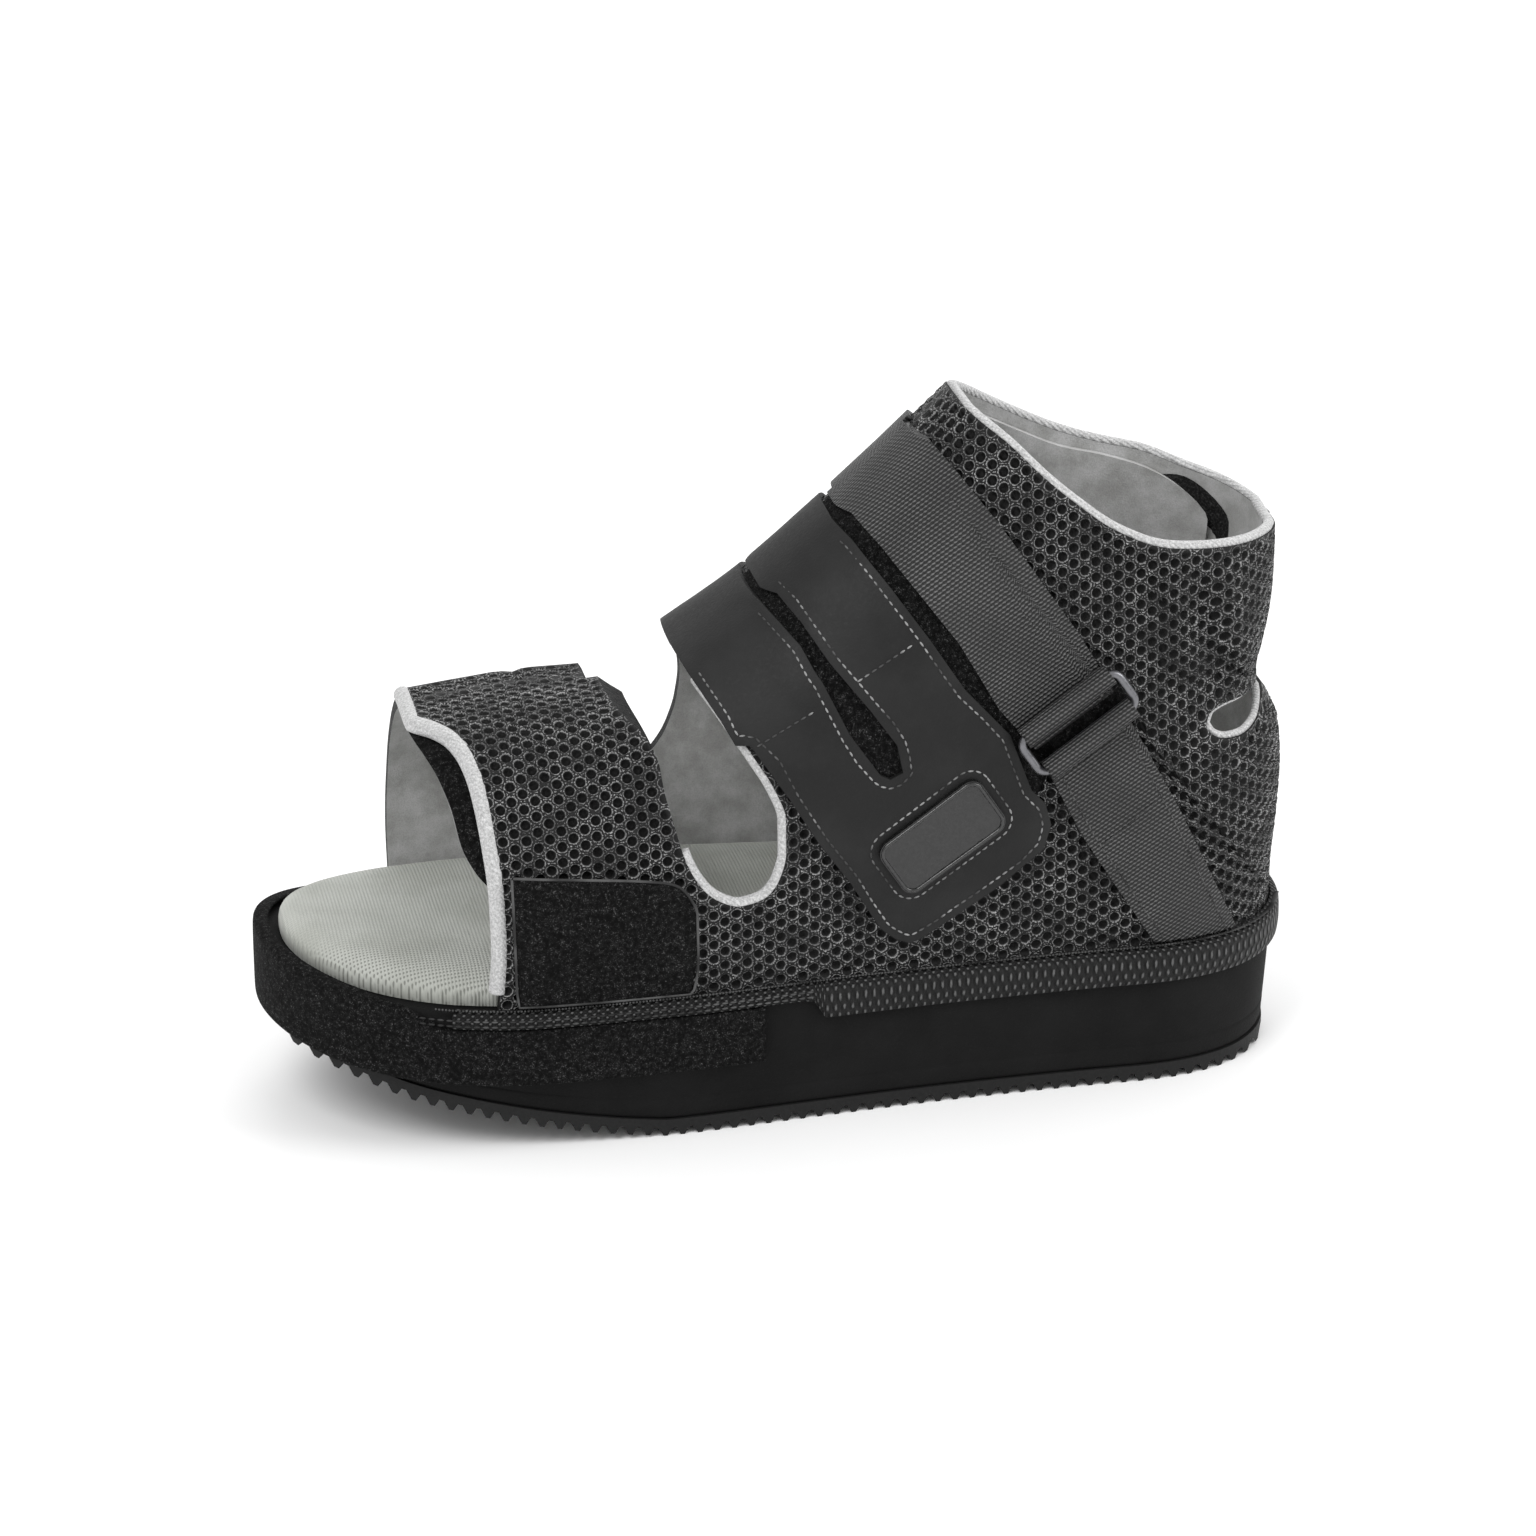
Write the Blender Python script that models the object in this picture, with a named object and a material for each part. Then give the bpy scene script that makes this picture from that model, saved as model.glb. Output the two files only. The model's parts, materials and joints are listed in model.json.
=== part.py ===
"""Post operative shoe: open toe, wrap-over forefoot, ankle shaft and two strap closures.

Toe at -X, heel at +X, the closures on the -Y side, floor at Z = 0.
"""
import math

import bmesh
import bpy
import numpy as np

MM = 0.001

# Sole
LENGTH = 299 * MM            # toe to heel over the welt
BALL_WIDTH = 108 * MM
HEEL_WIDTH = 87 * MM
TOE_ROUND = 78 * MM          # plan length of the toe's rounding
HEEL_ROUND = 52 * MM
SOLE_TOP = 42 * MM           # floor to the feather edge, where the upper meets the sole
TOE_SPRING = 27 * MM         # lift of the outsole under the toe tip
TOE_RISE = 10 * MM           # lift of the feather edge at the toe
OUTSOLE_THICK = 5.2 * MM     # with the ribs
RIB_DEPTH = 2.3 * MM
RIB_PITCH = 5.0 * MM
MIDSOLE_TAPER = 2.0 * MM     # the side leans in by this much at the bottom
TAPE_THICK = 1.6 * MM
WELT_DEEP = 10 * MM          # how far the woven tape reaches down at the heel
WELT_SHALLOW = 4 * MM        # and beside the forefoot
WELT_LEDGE = 2.8 * MM        # width of the tape on top of the sole
BAND_DEPTH = 21 * MM         # loop band round the toe
BAND_LIP = 4.6 * MM          # width of the band on top of the sole at the toe
BAND_RISE = 1.5 * MM         # its height over the feather edge there
INSOLE_DOME = 11 * MM
CLEAR = 0.3 * MM             # between pieces that touch

# Upper
HEIGHT = 200 * MM            # floor to the front of the collar
WALL = 3.6 * MM              # spacer mesh with its lining
TOP_ROUND_TOE = 60 * MM      # depth of the rounding under the top line
TOP_ROUND_SHAFT = 50 * MM
FLAP_LAP = 3.4 * MM          # the near forefoot flap lies over the far one by this much
EDGE_TOE = 2.4 * MM          # radius of the rolled binding on the forefoot flap
EDGE_THIN = 1.2 * MM         # radius of the piping on the scallop and collar

# Closures
WEBBING = 30 * MM
WEBBING_THICK = 1.6 * MM
LEATHER_THICK = 1.5 * MM
PAD_THICK = 1.6 * MM

# Shares along the shoe (0 toe, 1 heel) and how much of the ball's extra width is left there
BODY = [(0.00, 1.00), (0.27, 1.00), (0.38, 0.90), (0.52, 0.52), (0.65, 0.20), (0.80, 0.03), (1.00, 0.00)]
# Shares along the shoe and the share of the toe spring that the outsole's underside has there
ROCKER = [(0.00, 1.00), (0.02, 0.93), (0.075, 0.76), (0.13, 0.56), (0.18, 0.42), (0.225, 0.30), (0.26, 0.21),
          (0.30, 0.12), (0.34, 0.045), (0.375, 0.00), (0.92, 0.00), (0.97, 0.02), (1.00, 0.06)]
# The same for the feather edge
FEATHER = [(0.00, 1.00), (0.03, 0.72), (0.07, 0.42), (0.12, 0.20), (0.18, 0.06), (0.25, 0.00), (0.93, 0.00), (1.00, 0.12)]
# Top line of the foot shape: share of LENGTH, share of HEIGHT
TOP_LINE = [(0.082, 0.565), (0.125, 0.580), (0.166, 0.587), (0.216, 0.595), (0.266, 0.602), (0.316, 0.603),
            (0.353, 0.608), (0.386, 0.630), (0.420, 0.667), (0.473, 0.7275), (0.547, 0.825), (0.624, 0.9325),
            (0.667, 0.995), (0.701, 1.045), (0.741, 1.110)]
# Back of the heel: share of HEIGHT, gap to the heel's end as a share of HEEL_ROUND
BACK_LINE = [(0.20, 0.063), (0.275, 0.060), (0.35, 0.037), (0.425, 0.026), (0.49, 0.045), (0.525, 0.105), (0.555, 0.175),
             (0.58, 0.180), (0.615, 0.150), (0.66, 0.115), (0.71, 0.098), (0.77, 0.094), (0.85, 0.105), (1.05, 0.120)]
# Width of the foot shape: share of HEIGHT, factor on the width at the feather edge
SWELL = [(0.21, 1.00), (0.30, 1.03), (0.43, 1.03), (0.55, 1.00), (0.70, 0.94), (0.82, 0.88), (1.00, 0.80)]
# Sections of the upper on the sole: foot and head, both as shares of LENGTH
SEAT_FAN = [(0.125, 0.125), (0.166, 0.166), (0.216, 0.216), (0.266, 0.266), (0.316, 0.313), (0.366, 0.350),
            (0.416, 0.380), (0.483, 0.410), (0.567, 0.447), (0.650, 0.483), (0.734, 0.517), (0.808, 0.547),
            (0.866, 0.568), (0.903, 0.582), (0.932, 0.594), (0.953, 0.605), (0.968, 0.614), (0.980, 0.622), (1.000, 0.629)]
# Sections up the back of the heel: share of HEIGHT at the back, share of LENGTH at the head
BACK_FAN = [(0.275, 0.640), (0.34, 0.650), (0.41, 0.660), (0.48, 0.670), (0.54, 0.677), (0.59, 0.686), (0.65, 0.695),
            (0.72, 0.707), (0.80, 0.720), (0.89, 0.737)]
HALF_RING = 12               # faces from foot to head of a section


def along(share):
    return (share - 0.5) * LENGTH


def spline(rows, value):
    """Smooth curve through a table of (position, height) rows that never swings past a row."""
    xs = np.array([r[0] for r in rows], float)
    ys = np.array([r[1] for r in rows], float)
    rate = np.diff(ys) / np.diff(xs)
    a, b = rate[:-1], rate[1:]
    same = a * b > 0
    slope = np.concatenate([rate[:1], np.where(same, 2 * a * b / np.where(same, a + b, 1.0), 0.0), rate[-1:]])
    v = np.clip(np.asarray(value, float), xs[0], xs[-1])
    k = np.clip(np.searchsorted(xs, v, side="right") - 1, 0, len(xs) - 2)
    h = xs[k + 1] - xs[k]
    t = (v - xs[k]) / h
    return ((2 * t**3 - 3 * t**2 + 1) * ys[k] + (t**3 - 2 * t**2 + t) * h * slope[k]
            + (3 * t**2 - 2 * t**3) * ys[k + 1] + (t**3 - t**2) * h * slope[k + 1])


def ramp(start, end, share):
    """0 before start, 1 after end, straight between."""
    return min(1.0, max(0.0, (share - start) / (end - start)))


def share_of(x):
    return np.asarray(x) / LENGTH + 0.5


def feather_z(x):
    return SOLE_TOP + TOE_RISE * spline(FEATHER, share_of(x))


def floor_z(x):
    return TOE_SPRING * spline(ROCKER, share_of(x))


def oval(share, power):
    """Quarter of a superellipse: 0 at share 0, 1 from share 1 on."""
    e = np.clip(share, 0, 1)
    return np.clip(1 - (1 - e) ** power, 0, 1) ** (1 / power)


TOE_POWER, HEEL_POWER = 2.15, 2.25


def body_half(x, inset):
    extra = (BALL_WIDTH - HEEL_WIDTH) / 2 * spline(BODY, share_of(x))
    return HEEL_WIDTH / 2 + extra - inset


def half_width(x, inset):
    """Half the width of the sole's outline, drawn in by inset."""
    toe = oval((x + LENGTH / 2 - inset) / (TOE_ROUND - inset), TOE_POWER)
    heel = oval((LENGTH / 2 - inset - x) / (HEEL_ROUND - inset), HEEL_POWER)
    return body_half(x, inset) * toe * heel


def stations(inset, toe_n=11, mid_n=10, heel_n=9):
    """Places along the shoe, closer together where the outline turns."""
    toe = -LENGTH / 2 + inset + (TOE_ROUND - inset) * (1 - np.cos(np.linspace(0, math.pi / 2, toe_n + 1)))
    heel = LENGTH / 2 - inset - (HEEL_ROUND - inset) * (1 - np.cos(np.linspace(math.pi / 2, 0, heel_n + 1)))
    mid = np.linspace(toe[-1], heel[0], mid_n + 1)
    return np.concatenate([toe, mid[1:-1], heel])


def outline(inset, xs=None):
    """Closed outline: along the -Y side from toe to heel, then back along +Y."""
    xs = stations(inset) if xs is None else xs
    w = half_width(xs, inset)
    w[0] = w[-1] = 0
    near = [(x, -y) for x, y in zip(xs, w)]
    far = [(x, y) for x, y in zip(xs[1:-1], w[1:-1])]
    return near + far[::-1]


parts = bpy.data.collections.new("post_operative_shoe")
cutters = bpy.data.collections.new("cutters")


def material(name, colour, roughness, metallic=0.0):
    m = bpy.data.materials.new(name)
    m.use_nodes = True
    shader = m.node_tree.nodes["Principled BSDF"]
    shader.inputs["Base Color"].default_value = (*colour, 1)
    shader.inputs["Roughness"].default_value = roughness
    shader.inputs["Metallic"].default_value = metallic
    return m


def add_mesh(name, points, faces, mat=None, into=None):
    """One closed object from points and faces, welded and with its faces pointing out."""
    bm = bmesh.new()
    vs = [bm.verts.new(p) for p in points]
    for f in faces:
        if len({points[i] for i in f}) > 2:
            bm.faces.new([vs[i] for i in f])
    bmesh.ops.remove_doubles(bm, verts=bm.verts, dist=1e-6)
    bmesh.ops.recalc_face_normals(bm, faces=bm.faces)
    mesh = bpy.data.meshes.new(name)
    bm.to_mesh(mesh)
    bm.free()
    mesh.shade_smooth()
    mesh.set_sharp_from_angle(angle=math.radians(40))
    obj = bpy.data.objects.new(name, mesh)
    if mat is not None:
        mesh.materials.append(mat)
    (into or parts).objects.link(obj)
    return obj


def stack(name, layers, mat):
    """Solid through sole outlines, bottom to top: rows of (inset, height at x)."""
    rings = [[(x, y, z(x)) for x, y in outline(inset)] for inset, z in layers]
    n = len(rings[0])
    points = [p for ring in rings for p in ring]
    faces = [(k * n + i, k * n + (i + 1) % n, (k + 1) * n + (i + 1) % n, (k + 1) * n + i)
             for k in range(len(rings) - 1) for i in range(n)]
    for base in (0, (len(rings) - 1) * n):
        faces += cap_strips(n, base)
    return add_mesh(name, points, faces, mat)


def cap_strips(n, base):
    """Faces across an outline, from each station's near point to its far one."""
    half = n // 2
    far = lambda k: base + (n - k) % n
    strips = [(base, base + 1, far(1))]
    strips += [(base + k, base + k + 1, far(k + 1), far(k)) for k in range(1, half - 1)]
    return strips + [(base + half - 1, base + half, far(half - 1))]


def sweep(name, section, start, end, mat, turn, count=40):
    """Band round one end of the sole: section(share) gives (inset, height) points.

    turn is "toe" or "heel": the end that the band goes round.
    """
    angle = np.linspace(0, 1, count + 1)
    reach = (end - start) * (2 * angle - 1) ** 2
    share = start + reach if turn == "toe" else end - reach
    side = np.where(angle < 0.5, -1.0, 1.0)
    side[count // 2] = 0
    points, faces = [], []
    for s, sign in zip(share, side):
        for inset, z in section(s):
            lo, hi = -LENGTH / 2 + inset, LENGTH / 2 - inset
            x = lo + (hi - lo) * s
            points.append((x, sign * float(half_width(x, inset)), z))
    n = len(section(start))
    for k in range(count):
        faces += [(k * n + i, k * n + (i + 1) % n, (k + 1) * n + (i + 1) % n, (k + 1) * n + i) for i in range(n)]
    faces += [tuple(range(n)), tuple(count * n + i for i in range(n))]
    return add_mesh(name, points, faces, mat)


def outsole(mat):
    """Sheet with saw ribs across it, rows of four points a rib."""
    inset = TAPE_THICK + CLEAR + MIDSOLE_TAPER
    lo, hi = -LENGTH / 2 + inset, LENGTH / 2 - inset
    count = int((hi - lo) / RIB_PITCH)
    pitch = (hi - lo) / count
    xs, cut = [lo], [0.0]
    for k in range(count):
        for share, depth in ((0.12, 0.0), (0.38, 1.0), (0.62, 1.0), (0.88, 0.0)):
            xs.append(lo + (k + share) * pitch)
            cut.append(depth * RIB_DEPTH)
    xs.append(hi)
    cut.append(0.0)
    xs = np.array(xs)
    low = floor_z(xs) + np.array(cut)
    low[0] = low[1]
    low[-1] = low[-2]
    top = floor_z(xs) + OUTSOLE_THICK - CLEAR
    ring = outline(inset, xs)
    m = len(xs)
    heights = [np.concatenate([z, z[1:-1][::-1]]) for z in (low, top)]
    points = [(x, y, z) for zs in heights for (x, y), z in zip(ring, zs)]
    n = len(ring)
    faces = [(i, (i + 1) % n, n + (i + 1) % n, n + i) for i in range(n)]
    faces += cap_strips(n, 0) + cap_strips(n, n)
    return add_mesh("outsole", points, faces, mat)


def midsole(mat):
    side = TAPE_THICK + 2 * CLEAR
    low, mid = side + MIDSOLE_TAPER, side + 0.45 * MIDSOLE_TAPER
    under = lambda x: floor_z(x) + OUTSOLE_THICK
    def level(share, drop=0.0):
        return lambda x: under(x) + share * (feather_z(x) - under(x)) - drop
    return stack("midsole", [(low + 0.5 * MM, under), (low, level(0.03)), (mid, level(0.5)), (side, level(0.93)),
                             (side + 0.9 * MM, level(1.0))], mat)


def insole(mat):
    side = max(WELT_LEDGE + WALL + 6 * CLEAR, BAND_LIP + 2 * CLEAR)
    rows = [(0.0, 0.0), (0.0, 0.25), (0.03, 0.52), (0.11, 0.78), (0.28, 0.92), (0.60, 1.0)]
    half = HEEL_WIDTH / 2
    return stack("insole", [(side + share * half, lambda x, up=up: feather_z(x) + CLEAR + up * INSOLE_DOME)
                            for share, up in rows], mat)


def welt(mat):
    tail = 0.52              # where the deep tape ends beside the forefoot
    def section(s):
        x = along(s)
        deep = WELT_SHALLOW + (WELT_DEEP - WELT_SHALLOW) * ramp(tail - 0.012, tail, s)
        top, low = float(feather_z(x)), float(feather_z(x)) - deep
        return [(0.5 * MM, low), (0.0, low + 0.4 * (top - low)), (0.1 * MM, top - 1.0 * MM), (0.7 * MM, top + 0.8 * MM),
                (WELT_LEDGE, top + 1.5 * MM), (WELT_LEDGE, top + CLEAR), (TAPE_THICK, top + CLEAR), (TAPE_THICK, low)]
    return sweep("welt", section, 0.165, 1.0, mat, "heel", 56)


def toe_band(mat):
    def section(s):
        x = along(s)
        lip = BAND_LIP + (TAPE_THICK + CLEAR - BAND_LIP) * ramp(0.07, 0.11, s)
        top = float(feather_z(x)) + BAND_RISE - (BAND_RISE + WELT_SHALLOW + CLEAR) * ramp(0.115, 0.155, s)
        low = float(feather_z(x)) - BAND_DEPTH
        shelf = top - 1.2 * MM
        return [(0.4 * MM, low), (0.0, low + 1.0 * MM), (0.0, top - 1.2 * MM), (0.6 * MM, top), (lip, top), (lip, shelf),
                (TAPE_THICK, shelf), (TAPE_THICK, low)]
    return sweep("toe_band", section, 0.0, 0.461, mat, "toe", 44)


# Foot shape
HEAD = [(along(s), up * HEIGHT) for s, up in TOP_LINE]


def head_z(x):
    return spline(HEAD, x)


def back_x(z, inset):
    gap = spline(BACK_LINE, np.asarray(z) / HEIGHT) * HEEL_ROUND
    return LENGTH / 2 - gap - inset


FOOT_INSET = WELT_LEDGE + 2 * CLEAR


def top_gap(x, z):
    """Distance under the top line, negative over it."""
    xs = np.linspace(HEAD[0][0], HEAD[-1][0], 90)
    zs = head_z(xs)
    a = np.stack([xs[:-1], zs[:-1]], -1)
    d = np.stack([np.diff(xs), np.diff(zs)], -1)
    p = np.stack([np.ravel(x), np.ravel(z)], -1)[:, None, :]
    t = np.clip(((p - a) * d).sum(-1) / (d * d).sum(-1), 0, 1)
    gap = np.linalg.norm(p - a - t[..., None] * d, axis=-1).min(1)
    return np.where(z > head_z(x), -1, 1) * gap.reshape(np.shape(x))


def foot_half(x, z, inset, gap=None):
    """Half the width of the foot shape at a point of its side view."""
    x, z = np.asarray(x, float), np.asarray(z, float)
    share = share_of(x)
    shaft = spline([(0.0, 0.0), (0.30, 0.0), (0.50, 1.0), (1.0, 1.0)], share)
    depth = TOP_ROUND_TOE + (TOP_ROUND_SHAFT - TOP_ROUND_TOE) * shaft
    power = 3.0 - 0.8 * shaft
    gap = top_gap(x, z) if gap is None else gap
    base = body_half(x, FOOT_INSET) * oval((x + LENGTH / 2 - FOOT_INSET) / (TOE_ROUND - FOOT_INSET), TOE_POWER)
    e = np.clip((gap - inset) / (depth - inset), 0, 1)
    top = np.clip(1 - (1 - e) ** power, 0, 1) ** (1 / power)
    heel = oval((back_x(z, 0) - x - inset) / (HEEL_ROUND - FOOT_INSET - inset), HEEL_POWER)
    return (base * spline(SWELL, z / HEIGHT) - inset) * top * heel


def sections():
    """Foot and head of each section of the upper in side view, as a function of inset, and the row at the heel's corner."""
    corner = len(SEAT_FAN) - 1
    def at(inset):
        rows = []
        seat_end = float(back_x(SOLE_TOP + CLEAR, inset))
        for foot, head in SEAT_FAN:
            x = along(foot) if foot < 1 else seat_end
            x = min(x, seat_end - 0.25 * (along(1.0) - x)) if foot < 1 else x
            rows.append((x, float(feather_z(x)) + CLEAR, along(head)))
        rows += [(float(back_x(up * HEIGHT, inset)), up * HEIGHT, along(head)) for up, head in BACK_FAN]
        return rows
    return at, corner


def rings(inset):
    """Sections of the foot shape drawn in by inset: arrays of (x, half width, z), foot to head."""
    at, corner = sections()
    even = np.linspace(0, 1, HALF_RING + 1)
    out = []
    for k, (x, z, hx) in enumerate(at(inset)):
        slope = float(head_z(hx + 0.5 * MM) - head_z(hx - 0.5 * MM)) / MM
        norm = math.hypot(slope, 1)
        top_x, top_z = hx + inset * slope / norm, float(head_z(hx)) - inset / norm
        back = min(1.0, max(0.0, (k - corner + 8) / 8))
        v = (1 - back) * np.sin(even * math.pi / 2) + back * (1 - np.cos(even * math.pi)) / 2
        px, pz = x + v * (top_x - x), z + v * (top_z - z)
        w = foot_half(px, pz, inset)
        w[-1] = 0
        if k >= corner:
            w[0] = 0
        out.append(np.stack([px, w, pz], -1))
    return out, corner


def smooth(lo, hi, v):
    t = min(1.0, max(0.0, (v - lo) / (hi - lo)))
    return t * t * (3 - 2 * t)


UNDER_LAP = 8                # faces from the head down to the far flap's end, inside the near one
OVER_LAP = 1                 # faces from the head to the near flap's end, on the far side


def wall_ring(outer, drawn, inner_side):
    """One section of the wall, near foot to far foot, with the step where the flaps lap.

    outer is the section and drawn the same section drawn in by FLAP_LAP.
    """
    n = HALF_RING
    step = n - UNDER_LAP if inner_side else n + OVER_LAP
    points = []
    for j in range(2 * n + 1):
        k, side = (j, -1) if j <= n else (2 * n - j, 1)
        x, w, z = outer[k]
        a = np.array([x, side * w, z])
        b = np.array([drawn[k][0], side * drawn[k][1], drawn[k][2]])
        ahead = 1 - smooth(along(0.33), along(0.40), x)
        low = 1 if side < 0 else smooth(0.34 * HEIGHT, 0.50 * HEIGHT, z)
        full = a + (b - a) * ahead * low
        for mark in (n - UNDER_LAP, n + OVER_LAP):
            if j == mark:
                points.append(a if j <= step else full)
        points.append(full if j >= step else a)
    return points


def shell(name, out, thick, mat, first=0, last=None, lap=False, into=None):
    """Wall between the foot shape drawn in by out and by out + thick, open at the sole, toe and collar."""
    (outer, corner), (inner, _) = rings(out), rings(out + thick)
    deep_out, deep_in = rings(out + FLAP_LAP)[0], rings(out + thick + FLAP_LAP)[0]
    last = len(outer) - 1 if last is None else last
    if lap:
        skins = [[wall_ring(outer[i], deep_out[i], False) for i in range(len(outer))],
                 [wall_ring(inner[i], deep_in[i], True) for i in range(len(inner))]]
    else:
        skins = [[[(x, -w, z) for x, w, z in r] + [(x, w, z) for x, w, z in r[-2::-1]] for r in skin] for skin in (outer, inner)]
    n = len(skins[0][0])
    points, faces = [], []
    for skin in skins:
        for i in range(first, last + 1):
            points += [tuple(p) for p in skin[i]]
    rows = last - first + 1
    at = lambda s, i, j: (s * rows + i) * n + j
    for i in range(rows - 1):
        for j in range(n - 1):
            for s in (0, 1):
                faces.append((at(s, i, j), at(s, i + 1, j), at(s, i + 1, j + 1)))
                faces.append((at(s, i, j), at(s, i + 1, j + 1), at(s, i, j + 1)))
        if first + i < corner:
            for j in (0, n - 1):
                faces.append((at(0, i, j), at(0, i + 1, j), at(1, i + 1, j), at(1, i, j)))
    for i in (0, rows - 1):
        faces += [(at(0, i, j), at(0, i, j + 1), at(1, i, j + 1), at(1, i, j)) for j in range(n - 1)]
    return add_mesh(name, points, faces, mat, into)


def side_prism(name, rows, y0, y1, steps=1):
    """Cutter: an outline in side view, rows of shares of LENGTH and HEIGHT, drawn out along Y."""
    line = [(along(s), u * HEIGHT) for s, u in rows]
    bm = bmesh.new()
    face = bm.faces.new([bm.verts.new((x, y0, z)) for x, z in line])
    grown = bmesh.ops.extrude_face_region(bm, geom=[face])["geom"]
    bmesh.ops.translate(bm, vec=(0, y1 - y0, 0), verts=[v for v in grown if isinstance(v, bmesh.types.BMVert)])
    bmesh.ops.recalc_face_normals(bm, faces=bm.faces)
    mesh = bpy.data.meshes.new(name)
    bm.to_mesh(mesh)
    bm.free()
    obj = bpy.data.objects.new(name, mesh)
    obj.hide_render = True
    obj.display_type = "WIRE"
    cutters.objects.link(obj)
    return obj


def cut(obj, cutter, keep=False):
    m = obj.modifiers.new(cutter.name, "BOOLEAN")
    m.operation = "INTERSECT" if keep else "DIFFERENCE"
    m.object = cutter


def smooth_line(rows, parts_each=3):
    """The rows with points between them on a smooth curve."""
    pts = np.array(rows, float)
    gap = np.concatenate([[0], np.cumsum(np.linalg.norm(np.diff(pts, axis=0), axis=1))])
    at = np.concatenate([np.linspace(a, b, parts_each, endpoint=False) for a, b in zip(gap[:-1], gap[1:])] + [[gap[-1]]])
    return [(float(spline(list(zip(gap, pts[:, 0])), g)), float(spline(list(zip(gap, pts[:, 1])), g))) for g in at]


# Edges of the upper in side view: shares of LENGTH and HEIGHT, from the sole or the front upward
NEAR_FRONT = [(0.209, 0.200), (0.2145, 0.305), (0.2135, 0.380), (0.209, 0.455), (0.2025, 0.530), (0.1955, 0.565), (0.184, 0.5815), (0.168, 0.5855), (0.155, 0.5845)]
FAR_FRONT = [(0.147, 0.200), (0.146, 0.300), (0.148, 0.400), (0.149, 0.455), (0.152, 0.530), (0.155, 0.600)]
NEAR_SCALLOP = [(0.326, 0.612), (0.343, 0.592), (0.3595, 0.5725), (0.368, 0.545), (0.370, 0.515), (0.376, 0.475), (0.386, 0.420),
                (0.401, 0.3775), (0.418, 0.354), (0.438, 0.343), (0.460, 0.350), (0.475, 0.375), (0.482, 0.415), (0.482, 0.465),
                (0.473, 0.505), (0.453, 0.555), (0.430, 0.605), (0.406, 0.650), (0.386, 0.700)]
FAR_SCALLOP = [(0.326, 0.612), (0.328, 0.560), (0.333, 0.490), (0.343, 0.430), (0.360, 0.390), (0.380, 0.3725), (0.400, 0.380),
               (0.416, 0.405), (0.426, 0.435), (0.433, 0.475), (0.435, 0.515), (0.430, 0.565), (0.413, 0.620), (0.396, 0.660), (0.386, 0.700)]
NEAR_COLLAR = [(0.659, 1.015), (0.671, 0.9925), (0.706, 0.9525), (0.736, 0.910), (0.766, 0.8725), (0.803, 0.8325), (0.847, 0.805),
               (0.885, 0.7965), (0.933, 0.790), (0.965, 0.7875), (1.000, 0.775)]
FAR_COLLAR = [(0.659, 1.015), (0.671, 0.9925), (0.707, 0.950), (0.7495, 0.910), (0.801, 0.8715), (0.8445, 0.850), (0.881, 0.8375),
              (0.921, 0.815), (0.955, 0.800), (0.975, 0.789), (1.000, 0.775)]
HEEL_SLOT = [(0.893, 0.536), (0.899, 0.522), (0.913, 0.512), (0.930, 0.510), (0.950, 0.519), (0.966, 0.538), (1.020, 0.548), (1.020, 0.562),
             (0.970, 0.559), (0.945, 0.559), (0.920, 0.560), (0.900, 0.552)]


# Closures in side view, on the near side: shares of LENGTH and HEIGHT
FINGER_LOW_FRONT = [(0.392, 0.665), (0.4017, 0.651), (0.4135, 0.628), (0.427, 0.5985), (0.438, 0.5693), (0.4516, 0.5693)]
PATCH_FRONT = [(0.4855, 0.495), (0.5137, 0.425), (0.5427, 0.364), (0.5726, 0.288)]
PATCH_FOOT = [(0.5876, 0.269), (0.6015, 0.260), (0.6122, 0.2647), (0.6508, 0.2986), (0.6894, 0.334), (0.7316, 0.3845)]
PATCH_BACK = [(0.738, 0.420), (0.732, 0.452), (0.7183, 0.474), (0.6977, 0.557), (0.6545, 0.628), (0.6226, 0.7005),
              (0.590, 0.768), (0.562, 0.820), (0.550, 0.834), (0.546, 0.852)]
FINGER_SLOT = [(0.473, 0.760), (0.481, 0.742), (0.493, 0.7435), (0.5086, 0.719), (0.5295, 0.673), (0.5384, 0.657), (0.564, 0.610),
               (0.5885, 0.5585), (0.594, 0.518), (0.5815, 0.510), (0.572, 0.5176), (0.544, 0.578), (0.5216, 0.648), (0.516, 0.660),
               (0.5056, 0.691), (0.491, 0.7134), (0.479, 0.729), (0.473, 0.733), (0.464, 0.750)]
PATCH = FINGER_LOW_FRONT + PATCH_FRONT + PATCH_FOOT + PATCH_BACK + FINGER_SLOT
STRAP_FRONT = [(0.545, 0.870), (0.5555, 0.8475), (0.5657, 0.848), (0.585, 0.8185), (0.6153, 0.761), (0.6495, 0.694), (0.687, 0.596), (0.7224, 0.5326)]
STRAP_BACK = [(0.7977, 0.6088), (0.7644, 0.694), (0.7263, 0.777), (0.6915, 0.852), (0.660, 0.912), (0.640, 0.9462), (0.627, 0.9475), (0.622, 0.975)]
ANCHOR = [(0.7303, 0.511), (0.7712, 0.392), (0.8069, 0.307), (0.8432, 0.2225), (0.9300, 0.2225), (0.8971, 0.321), (0.8637, 0.425), (0.8331, 0.511), (0.8054, 0.5864)]
FAR_STRAP = [(0.545, 0.870), (0.5657, 0.848), (0.6153, 0.761), (0.6873, 0.596), (0.7303, 0.511), (0.7712, 0.392), (0.8069, 0.307), (0.8432, 0.2225),
             (0.9300, 0.2225), (0.8971, 0.321), (0.8637, 0.425), (0.8331, 0.511), (0.7977, 0.6088), (0.7263, 0.777), (0.660, 0.912), (0.622, 0.975)]
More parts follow.
